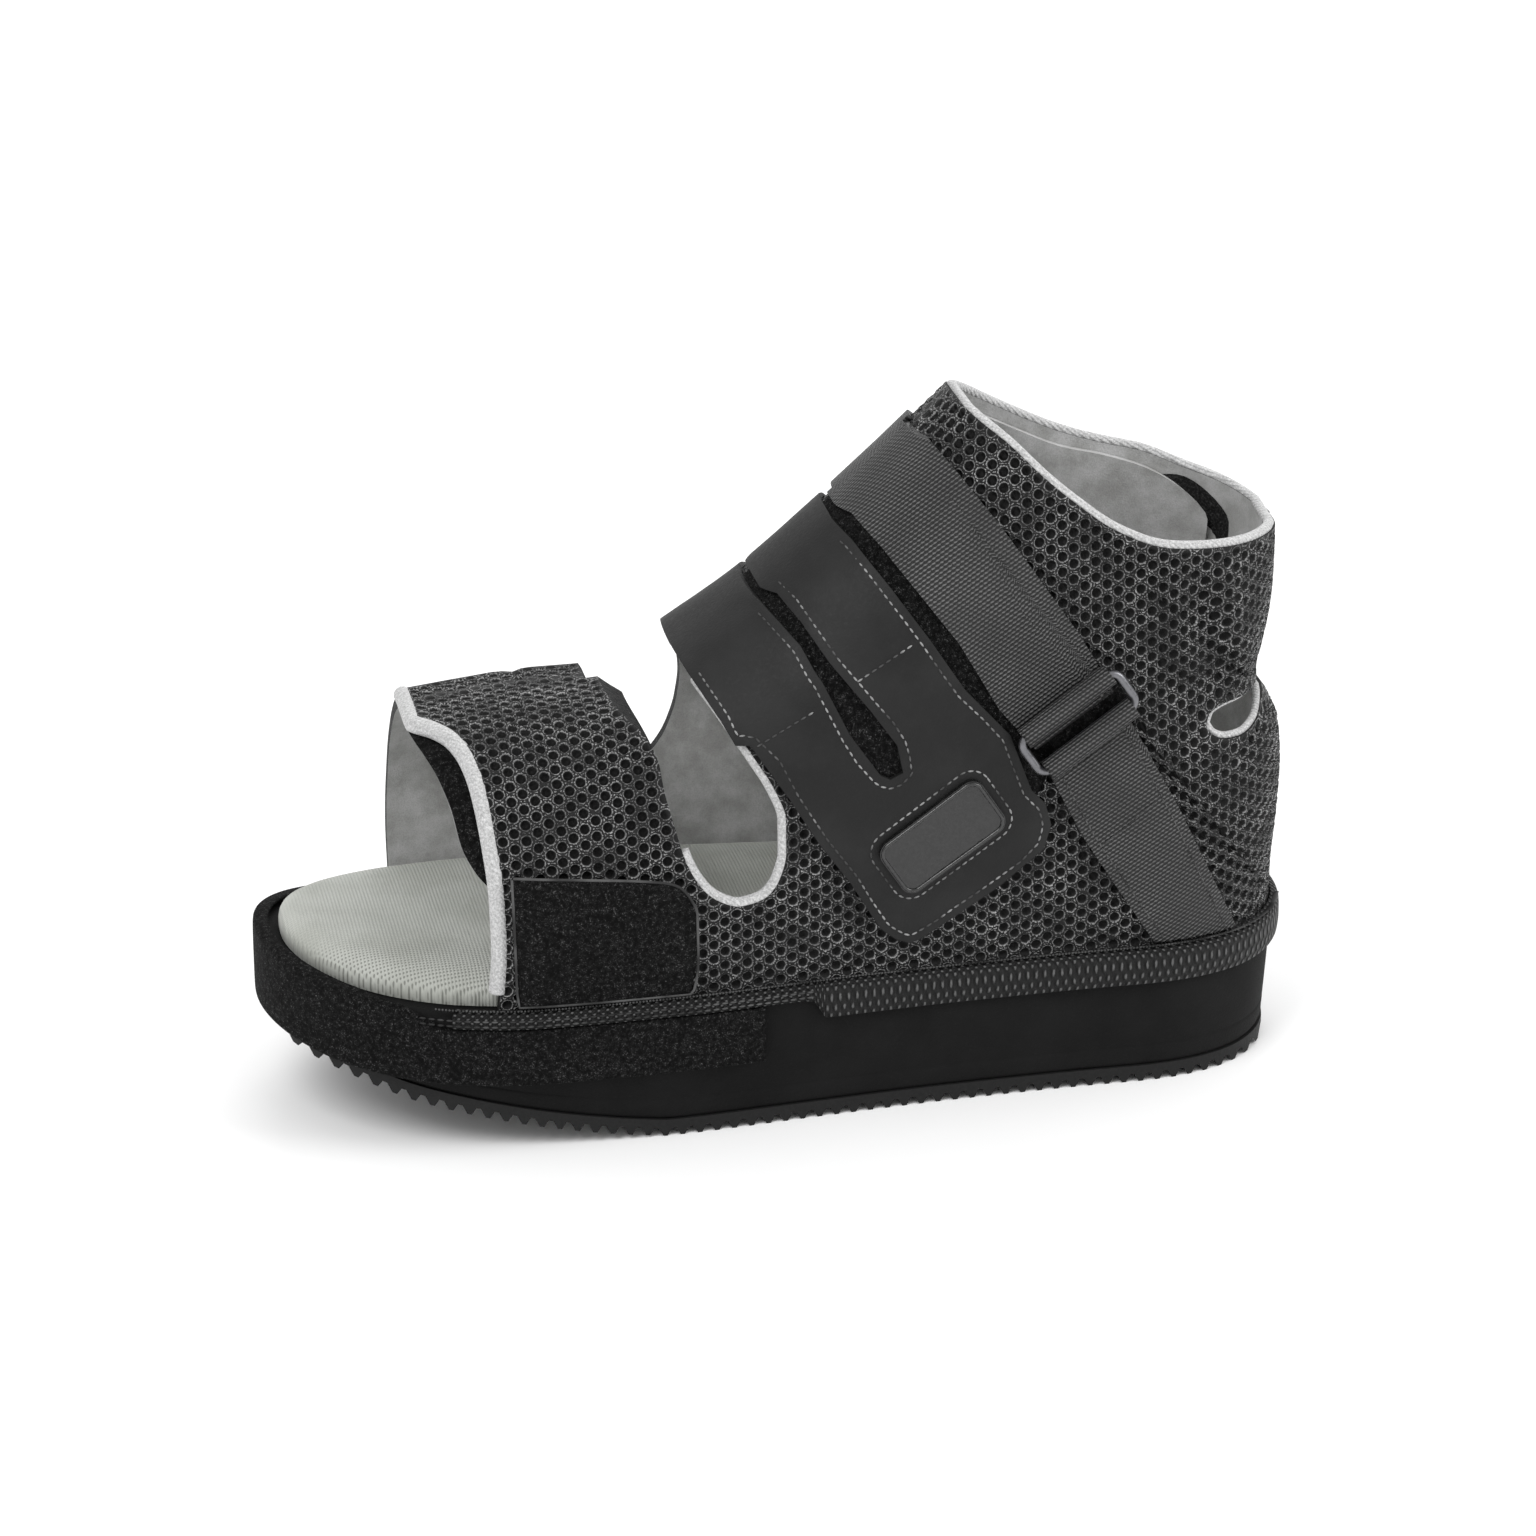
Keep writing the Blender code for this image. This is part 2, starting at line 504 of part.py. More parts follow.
PAD = [(0.2242, 0.416), (0.3046, 0.405), (0.361, 0.394), (0.377, 0.386), (0.388, 0.367), (0.3945, 0.342), (0.395, 0.272), (0.389, 0.2225), (0.2285, 0.2245)]
INNER_FLAP = [(0.600, 0.840), (0.660, 0.960), (0.690, 0.940), (0.7495, 0.890), (0.801, 0.8525), (0.8445, 0.835), (0.885, 0.815), (0.920, 0.783),
              (0.940, 0.745), (0.938, 0.700), (0.915, 0.655), (0.860, 0.620), (0.780, 0.600), (0.680, 0.620), (0.600, 0.700)]
BADGE_LONG, BADGE_WIDE, BADGE_ROUND = 35 * MM, 18.5 * MM, 4 * MM
BADGE_THICK = 1.6 * MM
BADGE_AT, BADGE_LEAN = (0.631, 0.420), math.radians(33.6)
RING_AT, RING_LEAN = (0.761, 0.5705), math.radians(34.5)
RING_BAR = 2.6 * MM          # thickness of the ring's wire
RING_GAP = 9.5 * MM          # clear height of the ring's window
FOLD = RING_BAR / 2 + CLEAR  # inner radius of the webbing's fold round a bar


def cover(name, rise, thick, rows, mat, y_end, y_start=None, near=True):
    """Sheet that lies on the upper, cut to an outline in side view."""
    obj = shell(name, -(rise + thick), thick, mat)
    y_start = -BALL_WIDTH if y_start is None else y_start
    cut(obj, side_prism(f"outline_{name}", rows, y_start, y_end), keep=True)
    return obj


def rounded(centre, long, wide, radius, lean, steps=5):
    """Rounded rectangle in side view, as shares."""
    cx, cz = along(centre[0]), centre[1] * HEIGHT
    rows = []
    for k, (sx, sz) in enumerate(((1, 1), (-1, 1), (-1, -1), (1, -1))):
        for i in range(steps + 1):
            a = math.pi / 2 * (k + i / steps)
            u = sx * (long / 2 - radius) + radius * math.cos(a)
            v = sz * (wide / 2 - radius) + radius * math.sin(a)
            x, z = cx + u * math.cos(lean) - v * math.sin(lean), cz + u * math.sin(lean) + v * math.cos(lean)
            rows.append((float(share_of(x)), z / HEIGHT))
    return rows


def ring_frame():
    """Place on the upper, long axis, short axis (down) and outward normal at the ring."""
    x, z = along(RING_AT[0]), RING_AT[1] * HEIGHT
    w = lambda a, b: float(foot_half(a, b, 0.0))
    gx = (w(x + MM, z) - w(x - MM, z)) / (2 * MM)
    gz = (w(x, z + MM) - w(x, z - MM)) / (2 * MM)
    out = np.array([-gx, -1.0, -gz])
    out /= np.linalg.norm(out)
    long = np.array([math.cos(RING_LEAN), 0, math.sin(RING_LEAN)])
    long -= out * (long @ out)
    long /= np.linalg.norm(long)
    down = np.cross(long, out)
    return np.array([x, -w(x, z), z]), long, down if down[2] < 0 else -down, out


BAR_RISE = FOLD + WEBBING_THICK + 4 * CLEAR       # height of the bars' axis over the upper


def bar_at(sign):
    """Axis of the upper (-1) or lower (1) bar of the ring."""
    place, long, down, out = ring_frame()
    return place + sign * down * (RING_GAP + RING_BAR) / 2 + out * BAR_RISE


def plate(name, corners_uv, frame, depth, mat, into=None):
    """Flat outline in a frame (place, long, down, out), depth thick about its plane."""
    place, long, down, out = frame
    n = len(corners_uv)
    points = [tuple(place + u * long + v * down + h * out) for h in (-depth / 2, depth / 2) for u, v in corners_uv]
    faces = [tuple(range(n)), tuple(range(n, 2 * n))] + [(i, (i + 1) % n, n + (i + 1) % n, n + i) for i in range(n)]
    return add_mesh(name, points, faces, mat, into)


def corner_rows(long, wide, radius, steps=4):
    rows = []
    for k, (sx, sz) in enumerate(((1, 1), (-1, 1), (-1, -1), (1, -1))):
        rows += [(sx * (long / 2 - radius) + radius * math.cos(math.pi / 2 * (k + i / steps)),
                  sz * (wide / 2 - radius) + radius * math.sin(math.pi / 2 * (k + i / steps))) for i in range(steps + 1)]
    return rows


def ring(mat):
    place, long, down, out = ring_frame()
    frame = (place + out * BAR_RISE, long, down, out)
    inner_long, outer_long = WEBBING + 3 * CLEAR, WEBBING + 3 * CLEAR + 2 * RING_BAR
    obj = plate("ring", corner_rows(outer_long, RING_GAP + 2 * RING_BAR, 3 * MM), frame, RING_BAR, mat)
    hole = plate("cut_ring", corner_rows(inner_long, RING_GAP, 0.8 * MM), frame, 3 * RING_BAR, None, cutters)
    hole.hide_render = True
    hole.display_type = "WIRE"
    cut(obj, hole)
    return obj


def tube(name, start, end, radius, mat, into=None, sides=16):
    axis = (end - start) / np.linalg.norm(end - start)
    side = np.cross(axis, [0, 0, 1.0])
    side /= np.linalg.norm(side)
    up = np.cross(side, axis)
    circle = [(radius * math.cos(2 * math.pi * i / sides), radius * math.sin(2 * math.pi * i / sides)) for i in range(sides)]
    points = [tuple(base + a * side + b * up) for base in (start, end) for a, b in circle]
    faces = [tuple(range(sides)), tuple(range(sides, 2 * sides))]
    faces += [(i, (i + 1) % sides, sides + (i + 1) % sides, sides + i) for i in range(sides)]
    return add_mesh(name, points, faces, mat, into)


def fold(obj, sign):
    """Join to a strap its fold round a bar of the ring."""
    place, long, down, out = ring_frame()
    axis = bar_at(sign)
    half = long * WEBBING / 2
    sleeve = tube(f"fold_{obj.name}", axis - half, axis + half, FOLD + WEBBING_THICK, None, cutters)
    bore = tube(f"bore_{obj.name}", axis - 1.2 * half, axis + 1.2 * half, FOLD + 0.45 * RING_BAR, None, cutters)
    for c in (sleeve, bore):
        c.hide_render = True
        c.display_type = "WIRE"
    m = obj.modifiers.new("fold", "BOOLEAN")
    m.operation = "UNION"
    m.object = sleeve
    cut(obj, bore)
    return obj


def edge_path(rows, side, gap, inset, parts_each=3):
    """Line beside an edge of the upper, gap away in side view, within the wall's thickness."""
    pts = np.array([(along(s), u * HEIGHT) for s, u in smooth_line(rows, parts_each)])
    run = np.gradient(pts, axis=0)
    run /= np.linalg.norm(run, axis=1)[:, None]
    pts = pts + np.stack([-run[:, 1], run[:, 0]], -1) * gap
    out = []
    for x, z in pts:
        room = float(head_z(x)) - z
        out.append((x, side * float(foot_half(x, z, inset)) if room > 0 else 0.0, z))
    return out


def piping(name, points, radius, mat, closed=False):
    curve = bpy.data.curves.new(name, "CURVE")
    curve.dimensions = "3D"
    curve.bevel_depth = radius
    curve.bevel_resolution = 1
    curve.use_fill_caps = not closed
    line = curve.splines.new("POLY")
    line.points.add(len(points) - 1)
    for p, q in zip(line.points, points):
        p.co = (*q, 1)
    line.use_cyclic_u = closed
    curve.materials.append(mat)
    obj = bpy.data.objects.new(name, curve)
    parts.objects.link(obj)
    return obj


def upper(mat):
    obj = shell("upper", 0.0, WALL, mat, lap=True)
    wide = BALL_WIDTH
    for name, rows, corners in (("front", (NEAR_FRONT, FAR_FRONT), ((0.155, 0.75), (0.0, 0.75), (0.0, 0.10))),
                                ("scallop", (NEAR_SCALLOP, FAR_SCALLOP), ((0.356, 0.75),)),
                                ("collar", (NEAR_COLLAR, FAR_COLLAR), ((1.05, 0.775), (1.05, 1.25), (0.659, 1.25)))):
        for side, edge in zip((-1, 1), rows):
            line = smooth_line(edge) + list(corners)
            if name == "front":
                line = [(edge[0][0], 0.10)] + line
            y = sorted((0.0, side * wide))
            cut(obj, side_prism(f"cut_{name}_{'near' if side < 0 else 'far'}", line, *y))
    cut(obj, side_prism("cut_heel_slot", smooth_line(HEEL_SLOT + HEEL_SLOT[:1], 2)[:-1], -wide, wide))
    return obj


def strap(mat):
    """Webbing from the ring over the instep and down the far side to the sole."""
    obj = shell("ankle_strap", -(CLEAR + WEBBING_THICK), WEBBING_THICK, mat)
    near = side_prism("outline_strap_near", STRAP_FRONT + STRAP_BACK, -BALL_WIDTH, 5 * MM)
    far = side_prism("outline_strap_far", FAR_STRAP, 4 * MM, BALL_WIDTH)
    both = near.modifiers.new("far", "BOOLEAN")
    both.operation = "UNION"
    both.object = far
    cut(obj, near, keep=True)
    return fold(obj, -1)


def bindings(mat):
    """Rolled edge of the near forefoot flap, piping of the instep scallop and of the collar."""
    front = [p for p in edge_path(NEAR_FRONT, -1, EDGE_TOE + CLEAR, WALL / 2, 2)
             if p[2] > feather_z(p[0]) + 2 * EDGE_TOE and p[1] < -2 * EDGE_TOE]
    piping("binding_front", front, EDGE_TOE, mat)
    scallop = [p for p in edge_path(NEAR_SCALLOP, -1, EDGE_THIN + CLEAR, WALL / 2) if p[1] < 0]
    piping("binding_scallop", scallop, EDGE_THIN, mat)
    near = [p for p in edge_path(NEAR_COLLAR, -1, EDGE_THIN + CLEAR, WALL / 2, 2) if p[1] < 0]
    far = [p for p in edge_path(FAR_COLLAR, 1, EDGE_THIN + CLEAR, WALL / 2, 2) if p[1] > 0]
    piping("binding_collar", near + far[::-1], EDGE_THIN, mat, closed=True)


def main():
    for obj in list(bpy.data.objects):
        bpy.data.objects.remove(obj, do_unlink=True)
    bpy.context.scene.collection.children.link(parts)
    bpy.context.scene.collection.children.link(cutters)
    rubber = material("black rubber", (0.02, 0.02, 0.02), 0.7)
    eva = material("black EVA foam", (0.03, 0.03, 0.03), 0.8)
    tape = material("woven tape", (0.025, 0.025, 0.025), 0.9)
    pile = material("black loop pile", (0.02, 0.02, 0.02), 0.95)
    lining = material("light grey lining", (0.5, 0.5, 0.48), 0.9)
    mesh_cloth = material("black spacer mesh", (0.03, 0.03, 0.03), 0.85)
    outsole(rubber)
    midsole(eva)
    insole(lining)
    welt(tape)
    toe_band(pile)
    upper(mesh_cloth)
    webbing = material("black webbing", (0.02, 0.02, 0.02), 0.75)
    leather = material("charcoal synthetic leather", (0.03, 0.03, 0.03), 0.6)
    metal = material("dark metal", (0.25, 0.25, 0.25), 0.35, 1.0)
    cover("loop_pad", CLEAR, PAD_THICK, PAD, pile, 0.0)
    cover("patch", CLEAR, LEATHER_THICK, PATCH, leather, 0.25 * BALL_WIDTH)
    cover("badge", 2 * CLEAR + LEATHER_THICK, BADGE_THICK, rounded(BADGE_AT, BADGE_LONG, BADGE_WIDE, BADGE_ROUND, BADGE_LEAN), rubber, 0.0)
    strap(webbing)
    anchor = cover("anchor_strap", CLEAR, WEBBING_THICK, ANCHOR, webbing, 0.0)
    fold(anchor, 1)
    ring(metal)
    flap = shell("inner_flap", WALL + CLEAR, 2.4 * MM, lining)
    cut(flap, side_prism("outline_inner_flap", smooth_line(INNER_FLAP, 2), 1 * MM, BALL_WIDTH), keep=True)
    bindings(lining)


main()
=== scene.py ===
"""Looks of the post operative shoe: cloth, stitches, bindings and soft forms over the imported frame.

Lengths are in metres. Toe at -X, heel at +X, closures on the -Y side.
"""
import json
import math

import bmesh
import bpy
import numpy as np
from mathutils import Matrix, Vector
from mathutils.kdtree import KDTree

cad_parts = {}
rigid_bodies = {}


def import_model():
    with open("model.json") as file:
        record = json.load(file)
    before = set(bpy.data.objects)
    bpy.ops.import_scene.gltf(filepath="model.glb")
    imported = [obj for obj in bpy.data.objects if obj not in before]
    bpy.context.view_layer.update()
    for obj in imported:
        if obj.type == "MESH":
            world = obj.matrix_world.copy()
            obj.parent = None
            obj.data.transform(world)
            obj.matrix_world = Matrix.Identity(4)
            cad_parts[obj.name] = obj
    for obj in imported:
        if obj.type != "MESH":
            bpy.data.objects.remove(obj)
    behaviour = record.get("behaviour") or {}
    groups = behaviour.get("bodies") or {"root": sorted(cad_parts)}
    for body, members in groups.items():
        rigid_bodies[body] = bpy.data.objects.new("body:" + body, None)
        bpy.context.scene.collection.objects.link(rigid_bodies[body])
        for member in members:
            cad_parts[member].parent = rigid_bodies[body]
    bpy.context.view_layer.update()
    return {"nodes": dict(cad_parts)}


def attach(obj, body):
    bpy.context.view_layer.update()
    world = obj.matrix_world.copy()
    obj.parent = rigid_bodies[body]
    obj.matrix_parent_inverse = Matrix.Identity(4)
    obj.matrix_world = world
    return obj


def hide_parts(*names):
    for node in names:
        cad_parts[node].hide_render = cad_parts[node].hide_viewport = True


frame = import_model()
MM = 0.001

# Sole
LENGTH = 299 * MM            # toe to heel over the welt
BALL_WIDTH = 108 * MM
HEEL_WIDTH = 87 * MM
TOE_ROUND = 78 * MM          # plan length of the toe's rounding
HEEL_ROUND = 52 * MM
SOLE_TOP = 42 * MM           # floor to the feather edge, where the upper meets the sole
TOE_SPRING = 27 * MM         # lift of the outsole under the toe tip
TOE_RISE = 10 * MM           # lift of the feather edge at the toe
OUTSOLE_THICK = 5.2 * MM     # with the ribs
MIDSOLE_TAPER = 2.0 * MM     # the side leans in by this much at the bottom
TAPE_THICK = 1.6 * MM
WELT_DEEP = 10 * MM          # how far the woven tape reaches down at the heel
WELT_SHALLOW = 4 * MM        # and beside the forefoot
WELT_LEDGE = 2.8 * MM        # width of the tape on top of the sole
BAND_DEPTH = 21 * MM         # loop band round the toe
BAND_LIP = 4.6 * MM          # width of the band on top of the sole at the toe
BAND_RISE = 1.5 * MM         # its height over the feather edge there
INSOLE_DOME = 11 * MM
CLEAR = 0.3 * MM             # between pieces that touch

# Upper
HEIGHT = 200 * MM            # floor to the front of the collar
WALL = 3.6 * MM              # spacer mesh with its lining
TOP_ROUND_TOE = 60 * MM      # depth of the rounding under the top line
TOP_ROUND_SHAFT = 50 * MM
FLAP_LAP = 3.4 * MM          # the near forefoot flap lies over the far one by this much
EDGE_TOE = 2.4 * MM          # radius of the rolled binding on the forefoot flap
EDGE_THIN = 1.2 * MM         # radius of the piping on the scallop and collar

# Closures
WEBBING = 30 * MM
WEBBING_THICK = 1.6 * MM
LEATHER_THICK = 1.5 * MM
PAD_THICK = 1.6 * MM

# Shares along the shoe (0 toe, 1 heel) and how much of the ball's extra width is left there
BODY = [(0.00, 1.00), (0.27, 1.00), (0.38, 0.90), (0.52, 0.52), (0.65, 0.20), (0.80, 0.03), (1.00, 0.00)]
# Shares along the shoe and the share of the toe spring that the outsole's underside has there
ROCKER = [(0.00, 1.00), (0.02, 0.93), (0.075, 0.76), (0.13, 0.56), (0.18, 0.42), (0.225, 0.30), (0.26, 0.21),
          (0.30, 0.12), (0.34, 0.045), (0.375, 0.00), (0.92, 0.00), (0.97, 0.02), (1.00, 0.06)]
# The same for the feather edge
FEATHER = [(0.00, 1.00), (0.03, 0.72), (0.07, 0.42), (0.12, 0.20), (0.18, 0.06), (0.25, 0.00), (0.93, 0.00),
           (1.00, 0.12)]
# Top line of the foot shape: share of LENGTH, share of HEIGHT
TOP_LINE = [(0.082, 0.565), (0.125, 0.580), (0.166, 0.587), (0.216, 0.595), (0.266, 0.602), (0.316, 0.603),
            (0.353, 0.608), (0.386, 0.630), (0.420, 0.667), (0.473, 0.7275), (0.547, 0.825), (0.624, 0.9325),
            (0.667, 0.995), (0.701, 1.045), (0.741, 1.110)]
# Back of the heel: share of HEIGHT, gap to the heel's end as a share of HEEL_ROUND
BACK_LINE = [(0.20, 0.063), (0.275, 0.060), (0.35, 0.037), (0.425, 0.026), (0.49, 0.045), (0.525, 0.105),
             (0.555, 0.175), (0.58, 0.180), (0.615, 0.150), (0.66, 0.115), (0.71, 0.098), (0.77, 0.094),
             (0.85, 0.105), (1.05, 0.120)]
# Width of the foot shape: share of HEIGHT, factor on the width at the feather edge
SWELL = [(0.21, 1.00), (0.30, 1.03), (0.43, 1.03), (0.55, 1.00), (0.70, 0.94), (0.82, 0.88), (1.00, 0.80)]
# Sections of the upper on the sole: foot and head, both as shares of LENGTH
SEAT_FAN = [(0.125, 0.125), (0.166, 0.166), (0.216, 0.216), (0.266, 0.266), (0.316, 0.313), (0.366, 0.350),
            (0.416, 0.380), (0.483, 0.410), (0.567, 0.447), (0.650, 0.483), (0.734, 0.517), (0.808, 0.547),
            (0.866, 0.568), (0.903, 0.582), (0.932, 0.594), (0.953, 0.605), (0.968, 0.614), (0.980, 0.622),
            (1.000, 0.629)]
# Sections up the back of the heel: share of HEIGHT at the back, share of LENGTH at the head
BACK_FAN = [(0.275, 0.640), (0.34, 0.650), (0.41, 0.660), (0.48, 0.670), (0.54, 0.677), (0.59, 0.686),
            (0.65, 0.695), (0.72, 0.707), (0.80, 0.720), (0.89, 0.737)]


def along(share):
    return (share - 0.5) * LENGTH


def spline(rows, value):
    """Smooth curve through a table of (position, height) rows that never swings past a row."""
    xs = np.array([r[0] for r in rows], float)
    ys = np.array([r[1] for r in rows], float)
    rate = np.diff(ys) / np.diff(xs)
    a, b = rate[:-1], rate[1:]
    same = a * b > 0
    slope = np.concatenate([rate[:1], np.where(same, 2 * a * b / np.where(same, a + b, 1.0), 0.0),
                            rate[-1:]])
    v = np.clip(np.asarray(value, float), xs[0], xs[-1])
    k = np.clip(np.searchsorted(xs, v, side="right") - 1, 0, len(xs) - 2)
    h = xs[k + 1] - xs[k]
    t = (v - xs[k]) / h
    return ((2 * t**3 - 3 * t**2 + 1) * ys[k] + (t**3 - 2 * t**2 + t) * h * slope[k]
            + (3 * t**2 - 2 * t**3) * ys[k + 1] + (t**3 - t**2) * h * slope[k + 1])


def ramp(start, end, share):
    """0 before start, 1 after end, straight between."""
    return min(1.0, max(0.0, (share - start) / (end - start)))


def share_of(x):
    return np.asarray(x) / LENGTH + 0.5


def feather_z(x):
    return SOLE_TOP + TOE_RISE * spline(FEATHER, share_of(x))


def floor_z(x):
    return TOE_SPRING * spline(ROCKER, share_of(x))


def oval(share, power):
    """Quarter of a superellipse: 0 at share 0, 1 from share 1 on."""
    e = np.clip(share, 0, 1)
    return np.clip(1 - (1 - e) ** power, 0, 1) ** (1 / power)


TOE_POWER, HEEL_POWER = 2.15, 2.25


def body_half(x, inset):
    extra = (BALL_WIDTH - HEEL_WIDTH) / 2 * spline(BODY, share_of(x))
    return HEEL_WIDTH / 2 + extra - inset


def half_width(x, inset):
    """Half the width of the sole's outline, drawn in by inset."""
    toe = oval((x + LENGTH / 2 - inset) / (TOE_ROUND - inset), TOE_POWER)
    heel = oval((LENGTH / 2 - inset - x) / (HEEL_ROUND - inset), HEEL_POWER)
    return body_half(x, inset) * toe * heel


# Foot shape
HEAD = [(along(s), up * HEIGHT) for s, up in TOP_LINE]


def head_z(x):
    return spline(HEAD, x)


def back_x(z, inset):
    gap = spline(BACK_LINE, np.asarray(z) / HEIGHT) * HEEL_ROUND
    return LENGTH / 2 - gap - inset


FOOT_INSET = WELT_LEDGE + 2 * CLEAR


def top_gap(x, z):
    """Distance under the top line, negative over it."""
    xs = np.linspace(HEAD[0][0], HEAD[-1][0], 90)
    zs = head_z(xs)
    a = np.stack([xs[:-1], zs[:-1]], -1)
    d = np.stack([np.diff(xs), np.diff(zs)], -1)
    p = np.stack([np.ravel(x), np.ravel(z)], -1)[:, None, :]
    t = np.clip(((p - a) * d).sum(-1) / (d * d).sum(-1), 0, 1)
    gap = np.linalg.norm(p - a - t[..., None] * d, axis=-1).min(1)
    return np.where(z > head_z(x), -1, 1) * gap.reshape(np.shape(x))


def foot_half(x, z, inset, gap=None):
    """Half the width of the foot shape at a point of its side view."""
    x, z = np.asarray(x, float), np.asarray(z, float)
    share = share_of(x)
    shaft = spline([(0.0, 0.0), (0.30, 0.0), (0.50, 1.0), (1.0, 1.0)], share)
    depth = TOP_ROUND_TOE + (TOP_ROUND_SHAFT - TOP_ROUND_TOE) * shaft
    power = 3.0 - 0.8 * shaft
    gap = top_gap(x, z) if gap is None else gap
    base = body_half(x, FOOT_INSET) * oval((x + LENGTH / 2 - FOOT_INSET) / (TOE_ROUND - FOOT_INSET),
                                           TOE_POWER)
    e = np.clip((gap - inset) / (depth - inset), 0, 1)
    top = np.clip(1 - (1 - e) ** power, 0, 1) ** (1 / power)
    heel = oval((back_x(z, 0) - x - inset) / (HEEL_ROUND - FOOT_INSET - inset), HEEL_POWER)
    return (base * spline(SWELL, z / HEIGHT) - inset) * top * heel


def smooth(lo, hi, v):
    t = min(1.0, max(0.0, (v - lo) / (hi - lo)))
    return t * t * (3 - 2 * t)


def wall_ring(outer, drawn, inner_side):
    """One section of the wall, near foot to far foot, with the step where the flaps lap.

    outer is the section and drawn the same section drawn in by FLAP_LAP.
    """
    n = RING_N
    step = n - UNDER_LAP if inner_side else n + OVER_LAP
    points = []
    for j in range(2 * n + 1):
        k, side = (j, -1) if j <= n else (2 * n - j, 1)
        x, w, z = outer[k]
        a = np.array([x, side * w, z])
        b = np.array([drawn[k][0], side * drawn[k][1], drawn[k][2]])
        ahead = 1 - smooth(along(0.33), along(0.40), x)
        low = 1 if side < 0 else smooth(0.34 * HEIGHT, 0.50 * HEIGHT, z)
        full = a + (b - a) * ahead * low
        for mark in (n - UNDER_LAP, n + OVER_LAP):
            if j == mark:
                points.append(a if j <= step else full)
        points.append(full if j >= step else a)
    return points


def side_prism(name, rows, y0, y1, steps=1):
    """Cutter: an outline in side view, rows of shares of LENGTH and HEIGHT, drawn out along Y."""
    line = [(along(s), u * HEIGHT) for s, u in rows]
    bm = bmesh.new()
    face = bm.faces.new([bm.verts.new((x, y0, z)) for x, z in line])
    grown = bmesh.ops.extrude_face_region(bm, geom=[face])["geom"]
    bmesh.ops.translate(bm, vec=(0, y1 - y0, 0), verts=[v for v in grown if isinstance(v,
            bmesh.types.BMVert)])
    bmesh.ops.recalc_face_normals(bm, faces=bm.faces)
    mesh = bpy.data.meshes.new(name)
    for f in bm.faces:
        f.material_index = 2
    bm.to_mesh(mesh)
    bm.free()
    obj = bpy.data.objects.new(name, mesh)
    obj.hide_render = True
    obj.display_type = "WIRE"
    bpy.context.scene.collection.objects.link(obj)
    return obj


def cut(obj, cutter, keep=False):
    m = obj.modifiers.new(cutter.name, "BOOLEAN")
    m.operation = "INTERSECT" if keep else "DIFFERENCE"
    m.object = cutter


def smooth_line(rows, parts_each=3):
    """The rows with points between them on a smooth curve."""
    pts = np.array(rows, float)
    gap = np.concatenate([[0], np.cumsum(np.linalg.norm(np.diff(pts, axis=0), axis=1))])
    at = np.concatenate([np.linspace(a, b, parts_each, endpoint=False) for a,
                         b in zip(gap[:-1], gap[1:])] + [[gap[-1]]])
    return [(float(spline(list(zip(gap, pts[:, 0])), g)), float(spline(list(zip(gap, pts[:, 1])),
            g))) for g in at]


# Edges of the upper in side view: shares of LENGTH and HEIGHT, from the sole or the front upward
NEAR_FRONT = [(0.209, 0.200), (0.2145, 0.305), (0.2135, 0.380), (0.209, 0.455), (0.2025, 0.530),
              (0.1955, 0.5625), (0.184, 0.5785), (0.168, 0.5828), (0.155, 0.5832)]
FAR_FRONT = [(0.147, 0.200), (0.146, 0.300), (0.148, 0.400), (0.149, 0.455), (0.152, 0.530), (0.155, 0.600)]
NEAR_SCALLOP = [(0.326, 0.612), (0.343, 0.592), (0.3595, 0.5725), (0.368, 0.545), (0.370, 0.515),
                (0.376, 0.475), (0.386, 0.420), (0.401, 0.3775), (0.418, 0.354), (0.438, 0.343),
                (0.460, 0.350), (0.475, 0.375), (0.482, 0.415), (0.482, 0.465), (0.473, 0.505),
                (0.453, 0.555), (0.430, 0.605), (0.406, 0.650), (0.386, 0.700)]
FAR_SCALLOP = [(0.316, 0.612), (0.3255, 0.588), (0.329, 0.560), (0.333, 0.490), (0.343, 0.430),
               (0.360, 0.390), (0.380, 0.3725), (0.400, 0.380), (0.416, 0.405), (0.426, 0.435),
               (0.433, 0.475), (0.435, 0.515), (0.430, 0.565), (0.413, 0.620), (0.396, 0.660),
               (0.386, 0.700)]
NEAR_COLLAR = [(0.659, 1.015), (0.671, 0.9925), (0.706, 0.9525), (0.736, 0.910), (0.766, 0.8725),
               (0.803, 0.8325), (0.847, 0.805), (0.885, 0.7965), (0.933, 0.790), (0.965, 0.7875),
               (1.000, 0.775)]
FAR_COLLAR = [(0.659, 1.015), (0.671, 0.9925), (0.707, 0.950), (0.7495, 0.910), (0.801, 0.8715),
              (0.8445, 0.850), (0.881, 0.8375), (0.921, 0.815), (0.955, 0.800), (0.975, 0.789),
              (1.000, 0.775)]
HEEL_SLOT = [(0.893, 0.536), (0.899, 0.522), (0.913, 0.512), (0.930, 0.510), (0.950, 0.519), (0.966, 0.538),
             (1.020, 0.548), (1.020, 0.562), (0.970, 0.559), (0.945, 0.559), (0.920, 0.560), (0.900, 0.552)]


